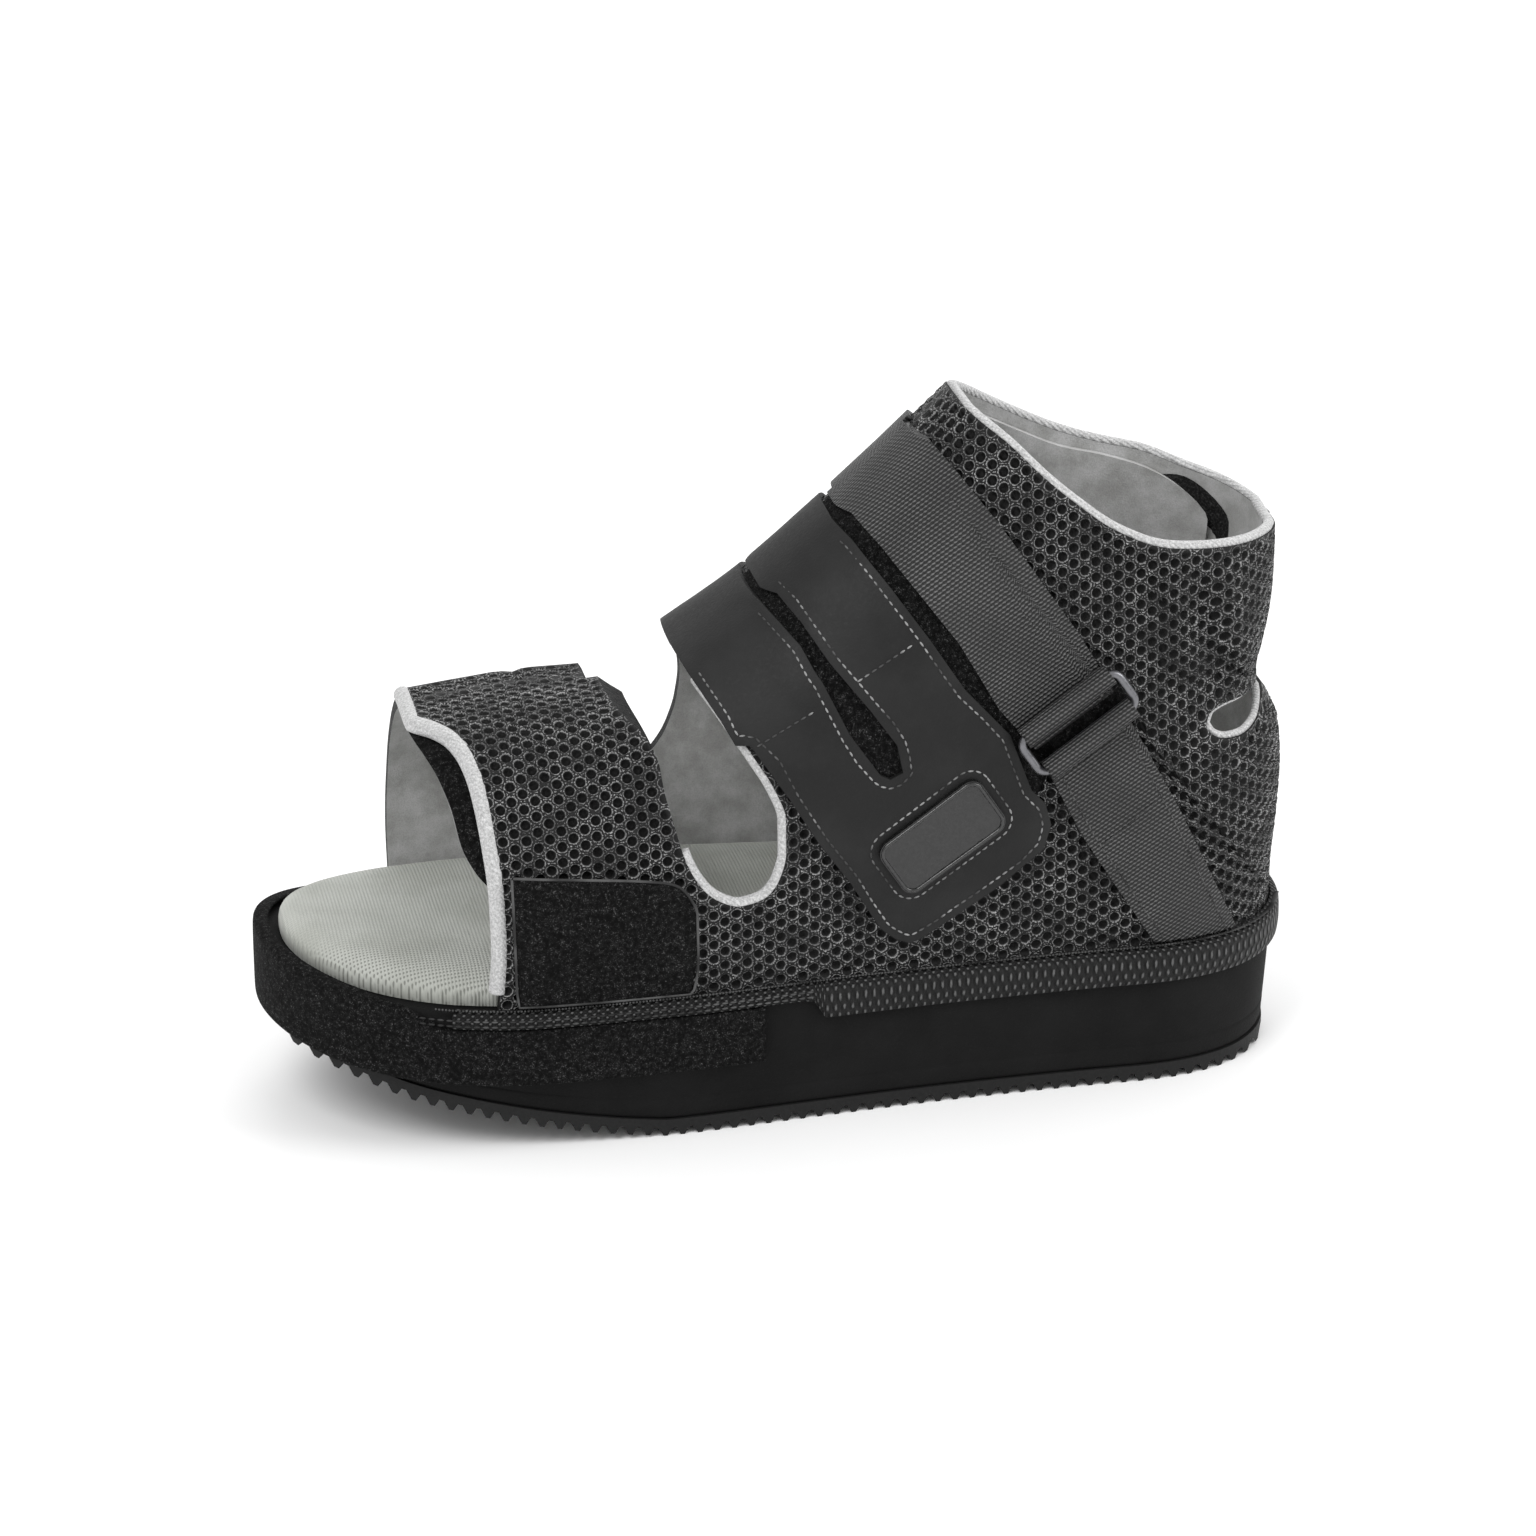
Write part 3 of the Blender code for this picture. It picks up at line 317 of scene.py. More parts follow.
# Closures in side view, on the near side: shares of LENGTH and HEIGHT
FINGER_LOW_FRONT = [(0.392, 0.665), (0.4017, 0.651), (0.4135, 0.628), (0.427, 0.5985), (0.438, 0.5693),
                    (0.4516, 0.5693)]
PATCH_FRONT = [(0.4855, 0.495), (0.5137, 0.425), (0.5427, 0.364), (0.5726, 0.288)]
PATCH_FOOT = [(0.5876, 0.269), (0.6015, 0.260), (0.6122, 0.2647), (0.6508, 0.2986), (0.6894, 0.334),
              (0.7316, 0.3845)]
PATCH_BACK = [(0.738, 0.420), (0.732, 0.452), (0.7183, 0.474), (0.6977, 0.557), (0.6545, 0.628),
              (0.6226, 0.7005), (0.590, 0.768), (0.562, 0.820), (0.550, 0.834), (0.546, 0.852)]
FINGER_SLOT = [(0.473, 0.760), (0.481, 0.742), (0.493, 0.7435), (0.5086, 0.719), (0.5295, 0.673),
               (0.5384, 0.657), (0.564, 0.610), (0.5885, 0.5585), (0.594, 0.518), (0.5815, 0.510),
               (0.572, 0.5176), (0.544, 0.578), (0.5216, 0.648), (0.516, 0.660), (0.5056, 0.691),
               (0.491, 0.7134), (0.479, 0.729), (0.473, 0.733), (0.464, 0.750)]
PATCH = FINGER_LOW_FRONT + PATCH_FRONT + PATCH_FOOT + PATCH_BACK + FINGER_SLOT
STRAP_FRONT = [(0.545, 0.870), (0.5555, 0.8475), (0.5657, 0.848), (0.585, 0.8185), (0.6153, 0.761),
               (0.6495, 0.694), (0.687, 0.596), (0.7224, 0.5326)]
STRAP_BACK = [(0.7977, 0.6088), (0.7644, 0.694), (0.7263, 0.777), (0.6915, 0.852), (0.660, 0.912),
              (0.640, 0.9462), (0.627, 0.9475), (0.622, 0.975)]
ANCHOR = [(0.7303, 0.511), (0.7712, 0.392), (0.8069, 0.307), (0.8432, 0.2225), (0.9300, 0.2225),
          (0.8971, 0.321), (0.8637, 0.425), (0.8331, 0.511), (0.8054, 0.5864)]
FAR_STRAP = [(0.545, 0.870), (0.5657, 0.848), (0.6153, 0.761), (0.6873, 0.596), (0.7303, 0.511),
             (0.7712, 0.392), (0.8069, 0.307), (0.8432, 0.2225), (0.9300, 0.2225), (0.8971, 0.321),
             (0.8637, 0.425), (0.8331, 0.511), (0.7977, 0.6088), (0.7263, 0.777), (0.660, 0.912),
             (0.622, 0.975)]
PAD = [(0.2242, 0.416), (0.3046, 0.405), (0.361, 0.394), (0.377, 0.386), (0.388, 0.367), (0.3945, 0.342),
       (0.395, 0.272), (0.389, 0.2225), (0.2285, 0.2245)]
INNER_FLAP = [(0.600, 0.840), (0.660, 0.960), (0.690, 0.940), (0.7495, 0.890), (0.801, 0.8525),
              (0.8445, 0.835), (0.885, 0.815), (0.920, 0.783), (0.940, 0.745), (0.938, 0.700),
              (0.915, 0.655), (0.860, 0.620), (0.780, 0.600), (0.680, 0.620), (0.600, 0.700)]
# Loop pile that shows through the finger slot and beside the straps
PILE_UNDER = [(0.440, 0.775), (0.470, 0.690), (0.500, 0.620), (0.530, 0.550), (0.575, 0.500), (0.680, 0.460),
              (0.722, 0.455), (0.745, 0.520), (0.700, 0.620), (0.640, 0.760), (0.600, 0.845), (0.570, 0.910)]
# Edge of the far flap where it shows under the near one, and its hidden back
LAP_LINE = [(0.1461, 0.5659), (0.1569, 0.5507), (0.1661, 0.5309), (0.1750, 0.4954), (0.1815, 0.4501),
            (0.1930, 0.4150), (0.2100, 0.3850)]
LAP_BACK = [(0.2165, 0.390), (0.2150, 0.455), (0.2085, 0.530), (0.2015, 0.566), (0.185, 0.62), (0.140, 0.62)]
# Knitted crescent inside the back of the collar
CRESCENT = [(0.890, 0.800), (0.915, 0.803), (0.942, 0.782), (0.958, 0.745), (0.957, 0.690), (0.93, 0.640),
            (0.88, 0.620), (0.86, 0.70)]
BADGE_LONG, BADGE_WIDE, BADGE_ROUND = 35 * MM, 18.5 * MM, 4 * MM
BADGE_THICK = 1.6 * MM
BADGE_AT, BADGE_LEAN = (0.631, 0.420), math.radians(33.6)
RING_AT, RING_LEAN = (0.761, 0.5705), math.radians(34.5)
RING_BAR = 2.6 * MM          # thickness of the ring's wire
RING_GAP = 9.5 * MM          # clear height of the ring's window
FOLD = RING_BAR / 2 + CLEAR  # inner radius of the webbing's fold round a bar


def rounded(centre, long, wide, radius, lean, steps=5):
    """Rounded rectangle in side view, as shares."""
    cx, cz = along(centre[0]), centre[1] * HEIGHT
    rows = []
    for k, (sx, sz) in enumerate(((1, 1), (-1, 1), (-1, -1), (1, -1))):
        for i in range(steps + 1):
            a = math.pi / 2 * (k + i / steps)
            u = sx * (long / 2 - radius) + radius * math.cos(a)
            v = sz * (wide / 2 - radius) + radius * math.sin(a)
            x, z = cx + u * math.cos(lean) - v * math.sin(lean), cz + u * math.sin(lean) + v * math.cos(lean)
            rows.append((float(share_of(x)), z / HEIGHT))
    return rows


def ring_frame():
    """Place on the upper, long axis, short axis (down) and outward normal at the ring."""
    x, z = along(RING_AT[0]), RING_AT[1] * HEIGHT
    w = lambda a, b: float(foot_half(a, b, 0.0))
    gx = (w(x + MM, z) - w(x - MM, z)) / (2 * MM)
    gz = (w(x, z + MM) - w(x, z - MM)) / (2 * MM)
    out = np.array([-gx, -1.0, -gz])
    out /= np.linalg.norm(out)
    long = np.array([math.cos(RING_LEAN), 0, math.sin(RING_LEAN)])
    long -= out * (long @ out)
    long /= np.linalg.norm(long)
    down = np.cross(long, out)
    return np.array([x, -w(x, z), z]), long, down if down[2] < 0 else -down, out


BAR_RISE = FOLD + WEBBING_THICK + 4 * CLEAR       # height of the bars' axis over the upper


def bar_at(sign):
    """Axis of the upper (-1) or lower (1) bar of the ring."""
    place, long, down, out = ring_frame()
    return place + sign * down * (RING_GAP + RING_BAR) / 2 + out * BAR_RISE


def corner_rows(long, wide, radius, steps=4):
    """Rounded rectangle about its middle."""
    rows = []
    for k, (sx, sz) in enumerate(((1, 1), (-1, 1), (-1, -1), (1, -1))):
        for i in range(steps + 1):
            a = math.pi / 2 * (k + i / steps)
            rows.append((sx * (long / 2 - radius) + radius * math.cos(a),
                         sz * (wide / 2 - radius) + radius * math.sin(a)))
    return rows


def edge_path(rows, side, gap, inset, parts_each=3):
    """Line beside an edge of the upper, gap away in side view, within the wall's thickness."""
    pts = np.array([(along(s), u * HEIGHT) for s, u in smooth_line(rows, parts_each)])
    run = np.gradient(pts, axis=0)
    run /= np.linalg.norm(run, axis=1)[:, None]
    pts = pts + np.stack([-run[:, 1], run[:, 0]], -1) * gap
    out = []
    for x, z in pts:
        room = float(head_z(x)) - z
        out.append((x, side * float(foot_half(x, z, inset)) if room > 0 else 0.0, z))
    return out


# Fine foot shape
SEAT_N, BACK_N = 96, 36      # sections on the sole and up the heel
RING_N = 52                  # steps of a section from the sole to the top line
UNDER_LAP, OVER_LAP = 30, 6  # steps by which the two forefoot flaps pass the top line
SKIN_GAP, SKIN = 0.03 * MM, 0.25 * MM  # thin cloth laid on the upper: gap and thickness


def fine_sections(inset):
    """Foot and head of closely spaced sections, and the row at the heel's corner."""
    seat_end = float(back_x(SOLE_TOP + CLEAR, inset))
    rows = []
    k = np.linspace(0, 1, SEAT_N + 1)
    foot = spline([(i / (len(SEAT_FAN) - 1), r[0]) for i, r in enumerate(SEAT_FAN)], k)
    head = spline([(i / (len(SEAT_FAN) - 1), r[1]) for i, r in enumerate(SEAT_FAN)], k)
    for f, h in zip(foot, head):
        x = seat_end if f > 0.9999 else min(along(f), seat_end - 0.25 * (along(1.0) - along(f)))
        rows.append((x, float(feather_z(x)) + CLEAR, along(h)))
    first = (SOLE_TOP / HEIGHT + 0.004, SEAT_FAN[-1][1])
    table = [first] + BACK_FAN
    k = np.linspace(0, 1, BACK_N + 1)[1:]
    up = spline([(i / (len(table) - 1), r[0]) for i, r in enumerate(table)], k)
    head = spline([(i / (len(table) - 1), r[1]) for i, r in enumerate(table)], k)
    rows += [(float(back_x(u * HEIGHT, inset)), u * HEIGHT, along(h)) for u, h in zip(up, head)]
    return rows, SEAT_N


def fine_rings(inset):
    rows, corner = fine_sections(inset)
    even = np.linspace(0, 1, 241)
    px, pz = [], []
    for k, (x, z, hx) in enumerate(rows):
        slope = float(head_z(hx + 0.5 * MM) - head_z(hx - 0.5 * MM)) / MM
        norm = math.hypot(slope, 1)
        tx, tz = hx + inset * slope / norm, float(head_z(hx)) - inset / norm
        back = min(1.0, max(0.0, (k - corner + 24) / 24))
        v = (1 - back) * np.sin(even * math.pi / 2) + back * (1 - np.cos(even * math.pi)) / 2
        px.append(x + v * (tx - x))
        pz.append(z + v * (tz - z))
    px, pz = np.array(px), np.array(pz)
    w = foot_half(px, pz, inset)
    w[:, -1] = 0
    w[corner:, 0] = 0
    dense = np.stack([px, w, pz], -1)
    out = []
    for row in dense:
        run = np.concatenate([[0], np.cumsum(np.linalg.norm(np.diff(row, axis=0), axis=1))])
        at = np.linspace(0, run[-1], RING_N + 1)
        out.append(np.stack([np.interp(at, run, row[:, c]) for c in range(3)], -1))
    return np.array(out), corner


base_rings, _ = fine_rings(0.0)
RUN = base_rings[:, -1, ::2] - base_rings[:, 0, ::2]
RUN /= np.linalg.norm(RUN, axis=-1, keepdims=True)
ARC = np.concatenate([np.zeros((len(base_rings), 1)), np.cumsum(np.linalg.norm(np.diff(base_rings, axis=1),
        axis=-1), axis=1)], 1)
MID = RING_N // 2
FLAT = base_rings[:, MID:MID + 1, ::2] + RUN[:, None] * (ARC - ARC[:, MID:MID + 1])[..., None]
OVER = base_rings[:, MID:MID + 1, ::2] + RUN[:, None] * (2 * ARC[:, -1:] - ARC - ARC[:, MID:MID + 1])[...,
        None]
_tree = KDTree(base_rings.shape[0] * base_rings.shape[1])
for _i, _p in enumerate(base_rings.reshape(-1, 3)):
    _tree.insert(Vector(_p), _i)
_tree.balance()
_grads = [np.gradient(a, axis=k).reshape(-1, a.shape[-1]) for a in (base_rings, FLAT, OVER) for k in (0, 1)]


def unrolled(points, over=False):
    """Cloth coordinates in millimetres of points on or near the near side; over continues past the top."""
    idx = np.array([_tree.find(Vector((p[0], abs(p[1]), p[2])))[1] for p in points])
    near = base_rings.reshape(-1, 3)[idx]
    d = np.stack([points[:, 0], np.abs(points[:, 1]), points[:, 2]], -1) - near
    ti, tj = _grads[0][idx], _grads[1][idx]
    aa, bb, ab = (ti * ti).sum(-1), (tj * tj).sum(-1), (ti * tj).sum(-1)
    da, db = (d * ti).sum(-1), (d * tj).sum(-1)
    det = np.maximum(aa * bb - ab * ab, 1e-16)
    u, v = np.clip((bb * da - ab * db) / det, -1, 1), np.clip((aa * db - ab * da) / det, -1, 1)
    flat, gi, gj = (OVER, _grads[4], _grads[5]) if over else (FLAT, _grads[2], _grads[3])
    return (flat.reshape(-1, 2)[idx] + u[:, None] * gi[idx] + v[:, None] * gj[idx]) * 1000


def lay_uv(mesh):
    """Cloth UV map, in millimetres, for a mesh on the foot shape."""
    co = np.empty(len(mesh.vertices) * 3)
    mesh.vertices.foreach_get("co", co)
    co = co.reshape(-1, 3)
    near, over = unrolled(co), unrolled(co, True)
    far = near * [1, 1] + [700, 0]
    layer = mesh.uv_layers.new(name="cloth")
    out = np.empty((len(mesh.loops), 2))
    for poly in mesh.polygons:
        c = poly.center
        ahead = c.x < along(0.37)
        for li in poly.loop_indices:
            v = mesh.loops[li].vertex_index
            if c.y < 0:
                out[li] = near[v]
            elif ahead and c.y < 15 * MM:
                out[li] = over[v]
            else:
                out[li] = far[v]
    layer.data.foreach_set("uv", out.ravel())


def new_object(name, mesh, *mats):
    for m in mats:
        mesh.materials.append(m)
    obj = bpy.data.objects.new(name, mesh)
    bpy.context.scene.collection.objects.link(obj)
    return obj


def mesh_from(name, points, faces, kinds=None):
    bm = bmesh.new()
    vs = [bm.verts.new(p) for p in points]
    for k, f in enumerate(faces):
        if len({tuple(points[i]) for i in f}) > 2:
            bm.faces.new([vs[i] for i in f]).material_index = kinds[k] if kinds else 0
    bmesh.ops.remove_doubles(bm, verts=bm.verts, dist=1e-6)
    bmesh.ops.recalc_face_normals(bm, faces=bm.faces)
    mesh = bpy.data.meshes.new(name)
    bm.to_mesh(mesh)
    bm.free()
    mesh.shade_smooth()
    return mesh


def settle(obj, sharp=None):
    """Turn an object with modifiers into a plain mesh at the origin."""
    graph = bpy.context.evaluated_depsgraph_get()
    mesh = bpy.data.meshes.new_from_object(obj.evaluated_get(graph))
    mesh.transform(obj.matrix_world)
    obj.matrix_world = Matrix()
    obj.modifiers.clear()
    if obj.type != "MESH":
        new = bpy.data.objects.new(obj.name + "_m", mesh)
        bpy.context.scene.collection.objects.link(new)
        name = obj.name
        bpy.data.objects.remove(obj)
        new.name = name
        obj = new
    else:
        obj.data = mesh
    if sharp:
        mesh.set_sharp_from_angle(angle=math.radians(sharp))
    return obj


def fine_shell(name, out, thick, lap=False, shape=None):
    (outer, corner), (inner, _) = fine_rings(out), fine_rings(out + thick)
    if shape is not None:
        outer = shape(outer)
    n_rows = len(outer)
    if lap:
        deep_out, deep_in = fine_rings(out + FLAP_LAP)[0], fine_rings(out + thick + FLAP_LAP)[0]
        skins = [[wall_ring(outer[i], deep_out[i], False) for i in range(n_rows)],
                 [wall_ring(inner[i], deep_in[i], True) for i in range(n_rows)]]
    else:
        skins = [[[(x, -w, z) for x, w, z in r] + [(x, w, z) for x, w,
                                                   z in r[-2::-1]] for r in s] for s in (outer, inner)]
    n = len(skins[0][0])
    points = [tuple(float(c) for c in p) for skin in skins for r in skin for p in r]
    at = lambda s, i, j: (s * n_rows + i) * n + j
    faces, kinds = [], []
    for i in range(n_rows - 1):
        for j in range(n - 1):
            for s in (0, 1):
                faces.append((at(s, i, j), at(s, i + 1, j), at(s, i + 1, j + 1)))
                faces.append((at(s, i, j), at(s, i + 1, j + 1), at(s, i, j + 1)))
                at_step = j in (RING_N - UNDER_LAP, RING_N + OVER_LAP + 1)
                step = lap and at_step and outer[i][0][0] < along(0.40)
                kinds += [2, 2] if step else [s, s]
        if i < corner:
            for j in (0, n - 1):
                faces.append((at(0, i, j), at(0, i + 1, j), at(1, i + 1, j), at(1, i, j)))
                kinds.append(2)
    for i in (0, n_rows - 1):
        faces += [(at(0, i, j), at(0, i, j + 1), at(1, i, j + 1), at(1, i, j)) for j in range(n - 1)]
    kinds += [2] * (len(faces) - len(kinds))
    return new_object(name, mesh_from(name, points, faces, kinds))


def clear_cutters():
    for o in list(bpy.data.objects):
        if o.hide_render and o.display_type == "WIRE":
            bpy.data.objects.remove(o)


# Materials
def linear(hex_colour):
    """sRGB hex value as a linear colour."""
    out = []
    for k in (0, 2, 4):
        c = int(hex_colour[k:k + 2], 16) / 255
        out.append(c / 12.92 if c <= 0.04045 else ((c + 0.055) / 1.055) ** 2.4)
    return (*out, 1.0)


def add_node(tree, kind, *inputs, out=0, **values):
    """Add one node with its settings and links, and give one of its outputs.

    kind is the node's type, and its operation after a dot. inputs fill its sockets in order. values are
    sockets by name or by number (i6), or settings of the node.
    """
    kind, _, operation = kind.partition(".")
    node = tree.nodes.new(kind if "Node" in kind else "ShaderNode" + kind)
    if operation:
        node.operation = operation
    for key, value in {**{f"i{k}": v for k, v in enumerate(inputs)}, **values}.items():
        socket = int(key[1:]) if key[0] == "i" and key[1:].isdigit() else key.replace("_", " ")
        if isinstance(socket, str) and socket not in node.inputs:
            setattr(node, key, value)
        elif isinstance(value, bpy.types.NodeSocket):
            tree.links.new(value, node.inputs[socket])
        else:
            node.inputs[socket].default_value = value
    return node.outputs[out] if node.outputs else node


class Nodes:
    """A material while its nodes are put together.

    Patterns run in millimetres, so a noise's Scale is one over the size of its grain.
    """

    def __init__(self, name, roughness=0.7, **sockets):
        self.mat = bpy.data.materials.new(name)
        self.mat.use_nodes = True
        self.tree = self.mat.node_tree
        self.shader = self.tree.nodes["Principled BSDF"]
        self.shader.inputs["Roughness"].default_value = roughness
        for key, value in sockets.items():
            self.shader.inputs[key.replace("_", " ")].default_value = value

    def add(self, kind, *inputs, **values):
        return add_node(self.tree, kind, *inputs, **values)

    def uv(self, angle=0.0, shift=(0, 0)):
        """Cloth coordinates in millimetres, turned by an angle."""
        x, y, _ = self.add("SeparateXYZ", self.add("UVMap", uv_map="cloth")).node.outputs
        c, s = math.cos(angle), math.sin(angle)
        u = self.add("Math.ADD", self.add("Math.MULTIPLY", x, c),
                     self.add("Math.MULTIPLY_ADD", y, s, shift[0]))
        v = self.add("Math.ADD", self.add("Math.MULTIPLY", x, -s),
                     self.add("Math.MULTIPLY_ADD", y, c, shift[1]))
        return u, v

    def place(self):
        """Object coordinates in millimetres."""
        return self.add("VectorMath.SCALE", self.add("TexCoord", out=3), Scale=1000.0)

    def finish(self, colour, height=None, distance=1.0, strength=1.0, rough=None):
        link = self.tree.links.new
        link(colour, self.shader.inputs["Base Color"])
        if height is not None:
            bump = self.add("Bump", Height=height, Strength=strength, Distance=distance * MM)
            link(bump, self.shader.inputs["Normal"])
        if rough is not None:
            link(rough, self.shader.inputs["Roughness"])
        return self.mat


CELL_UP = 4.4                # millimetres between the mesh's holes up the cloth
CELL_ALONG = 6.5             # and between every second column of them along it


def hex_gap(n, u, v, pitch, row):
    """Distance in millimetres to the middle of the nearest cell of a hexagonal net."""
    found = []
    for shift in (0.0, 0.5):
        a = n.add("Math.SUBTRACT", n.add("Math.FLOORED_MODULO", n.add("Math.ADD", u, shift * pitch), pitch),
                  pitch / 2)
        b = n.add("Math.SUBTRACT", n.add("Math.FLOORED_MODULO", n.add("Math.ADD", v, shift * row), row),
                  row / 2)
        found.append(n.add("Math.SQRT", n.add("Math.ADD", n.add("Math.MULTIPLY", a, a),
                                              n.add("Math.MULTIPLY", b, b))))
    return n.add("Math.MINIMUM", *found)


# Polyester spacer mesh, warp knitted: a matt black face with painted pale glints on its loops
# round deep holes, the cloth's black in them deepened by painted shade.
# The holes are 4.4 mm apart up the cloth. The yarn's noise is 0.7 mm and its filaments are 0.25 mm.
def spacer_mesh():
    n = Nodes("black spacer mesh", 0.55, Specular_IOR_Level=0.3)
    u, v = n.uv()
    at = n.add("CombineXYZ", u, v)
    gap = hex_gap(n, v, u, CELL_UP, CELL_ALONG)
    rim = n.add("MapRange", gap, 1.0, 1.5, interpolation_type="SMOOTHSTEP")
    yarn = n.add("TexNoise", Vector=at, Scale=1.5, Detail=2.0, Roughness=0.65)
    fine = n.add("TexNoise", Vector=at, Scale=4.0, Detail=2.0, Roughness=0.6)
    loops = n.add("Math.SINE", n.add("Math.ADD", n.add("Math.MULTIPLY", gap, 6.5),
                                     n.add("Math.MULTIPLY", yarn, 9.0)))
    # painted glint: pale grey specks on the loops stand in for highlights; wander varies their strength at
    # random
    painted_glint = n.add("Math.MULTIPLY", n.add("MapRange", n.add("Math.ADD", n.add("Math.MULTIPLY", loops, 0.3),
            fine), 0.50, 0.82, interpolation_type="SMOOTHSTEP"),
            n.add("MapRange", gap, 1.25, 1.7, interpolation_type="SMOOTHSTEP"))
    wander = n.add("MapRange", n.add("TexNoise", Vector=at, Scale=0.10, Detail=2.0), 0.3, 0.7, 0.35, 1.0,
                   interpolation_type="SMOOTHSTEP")
    colour = n.add("Mix", n.add("Math.MULTIPLY", painted_glint, wander), i6=linear("101010"), i7=linear("b0b0b0"),
                   out=2, data_type="RGBA")
    # holes: near black, the cloth's own black deepened by painted shade in the recess
    colour = n.add("Mix", rim, i6=linear("020202"), i7=colour, out=2, data_type="RGBA")
    height = n.add("Math.ADD", n.add("Math.MULTIPLY", n.add("Math.MULTIPLY", loops, rim), 0.25),
                   n.add("Math.MULTIPLY", fine, 0.6))
    return n.finish(colour, height, 0.45)


# Polyester knit at a cut edge: dull black with soft 1.8 mm lumps and 0.6 mm yarns.
def knit_edge():
    n = Nodes("black knitted edge", 0.7, Specular_IOR_Level=0.25)
    at = n.place()
    loops, fine = n.add("TexNoise", Vector=at, Scale=0.55, Detail=2.0, Roughness=0.6), n.add("TexNoise",
            Vector=at, Scale=1.6, Detail=3.0, Roughness=0.7)
    colour = n.add("Mix", n.add("MapRange", fine, 0.45, 0.8, interpolation_type="SMOOTHSTEP"),
                   i6=linear("0a0a0a"), i7=linear("4a4a4a"), out=2, data_type="RGBA")
    return n.finish(colour, n.add("Math.ADD", loops, n.add("Math.MULTIPLY", fine, 0.5)), 0.9)


# Brushed polyester lining, napped: pale grey with 8 mm clouds and 0.45 mm fibres,
# and a soft sheen at grazing angles.
def lining():
    n = Nodes("light grey brushed lining", 0.92, Sheen_Weight=0.25, Sheen_Roughness=0.5)
    at = n.place()
    soft, fine = n.add("TexNoise", Vector=at, Scale=0.12, Detail=4.0, Roughness=0.6), n.add("TexNoise",
            Vector=at, Scale=2.2, Detail=3.0, Roughness=0.7)
    colour = n.add("Mix", n.add("MapRange", soft, 0.3, 0.7, interpolation_type="SMOOTHSTEP"),
                   i6=linear("9b9b99"), i7=linear("bababa"), out=2, data_type="RGBA")
    colour = n.add("Mix", n.add("Math.MULTIPLY", n.add("MapRange", fine, 0.35, 0.75,
                                                       interpolation_type="SMOOTHSTEP"), 0.35), i6=colour,
                                                       i7=linear("6d6d6c"), out=2, data_type="RGBA")
    return n.finish(colour, n.add("Math.ADD", n.add("Math.MULTIPLY", soft, 0.8),
                                  n.add("Math.MULTIPLY", fine, 0.35)), 0.5)


# Knitted polyester binding, folded over the edge: pale grey with slanted ribs and 0.6 mm yarns.
def binding():
    n = Nodes("light grey knitted binding", 0.88, Sheen_Weight=0.2)
    at = n.place()
    rib = n.add("TexWave", wave_type="BANDS", bands_direction="DIAGONAL", Vector=at, Scale=0.32,
                Distortion=1.5, Detail_Scale=1.0, out=1)
    fine = n.add("TexNoise", Vector=at, Scale=1.6, Detail=3.0, Roughness=0.7)
    colour = n.add("Mix", n.add("MapRange", fine, 0.3, 0.75, interpolation_type="SMOOTHSTEP"),
                   i6=linear("9d9d9d"), i7=linear("d4d4d4"), out=2, data_type="RGBA")
    return n.finish(colour, n.add("Math.ADD", n.add("Math.MULTIPLY", rib, 0.5),
                                  n.add("Math.MULTIPLY", fine, 0.6)), 0.45)


# Polyurethane synthetic leather, embossed: charcoal with a 0.75 mm pebble, a 1.1 mm grain and
# a low even gloss. The 20 mm clouds keep large areas from looking flat.
def leather():
    n = Nodes("charcoal synthetic leather", 0.55, Specular_IOR_Level=0.22)
    at = n.place()
    cells = n.add("TexVoronoi", Vector=at, Scale=1.35, Randomness=1.0)
    grain = n.add("TexNoise", Vector=at, Scale=0.9, Detail=5.0, Roughness=0.6)
    cloud = n.add("TexNoise", Vector=at, Scale=0.05, Detail=3.0, Roughness=0.6)
    colour = n.add("Mix", n.add("MapRange", cloud, 0.35, 0.7, interpolation_type="SMOOTHSTEP"),
                   i6=linear("181818"), i7=linear("202020"), out=2, data_type="RGBA")
    colour = n.add("Mix", n.add("Math.MULTIPLY", n.add("MapRange", grain, 0.45, 0.8,
                                                       interpolation_type="SMOOTHSTEP"), 0.3), i6=colour,
                                                       i7=linear("2a2a2a"), out=2, data_type="RGBA")
    height = n.add("Math.ADD", n.add("Math.MULTIPLY", cells, 0.5), n.add("Math.MULTIPLY", grain, 0.6))
    return n.finish(colour, height, 0.12, 0.8, n.add("MapRange", grain, 0.2, 0.8, 0.5, 0.66,
                                                     interpolation_type="SMOOTHSTEP"))
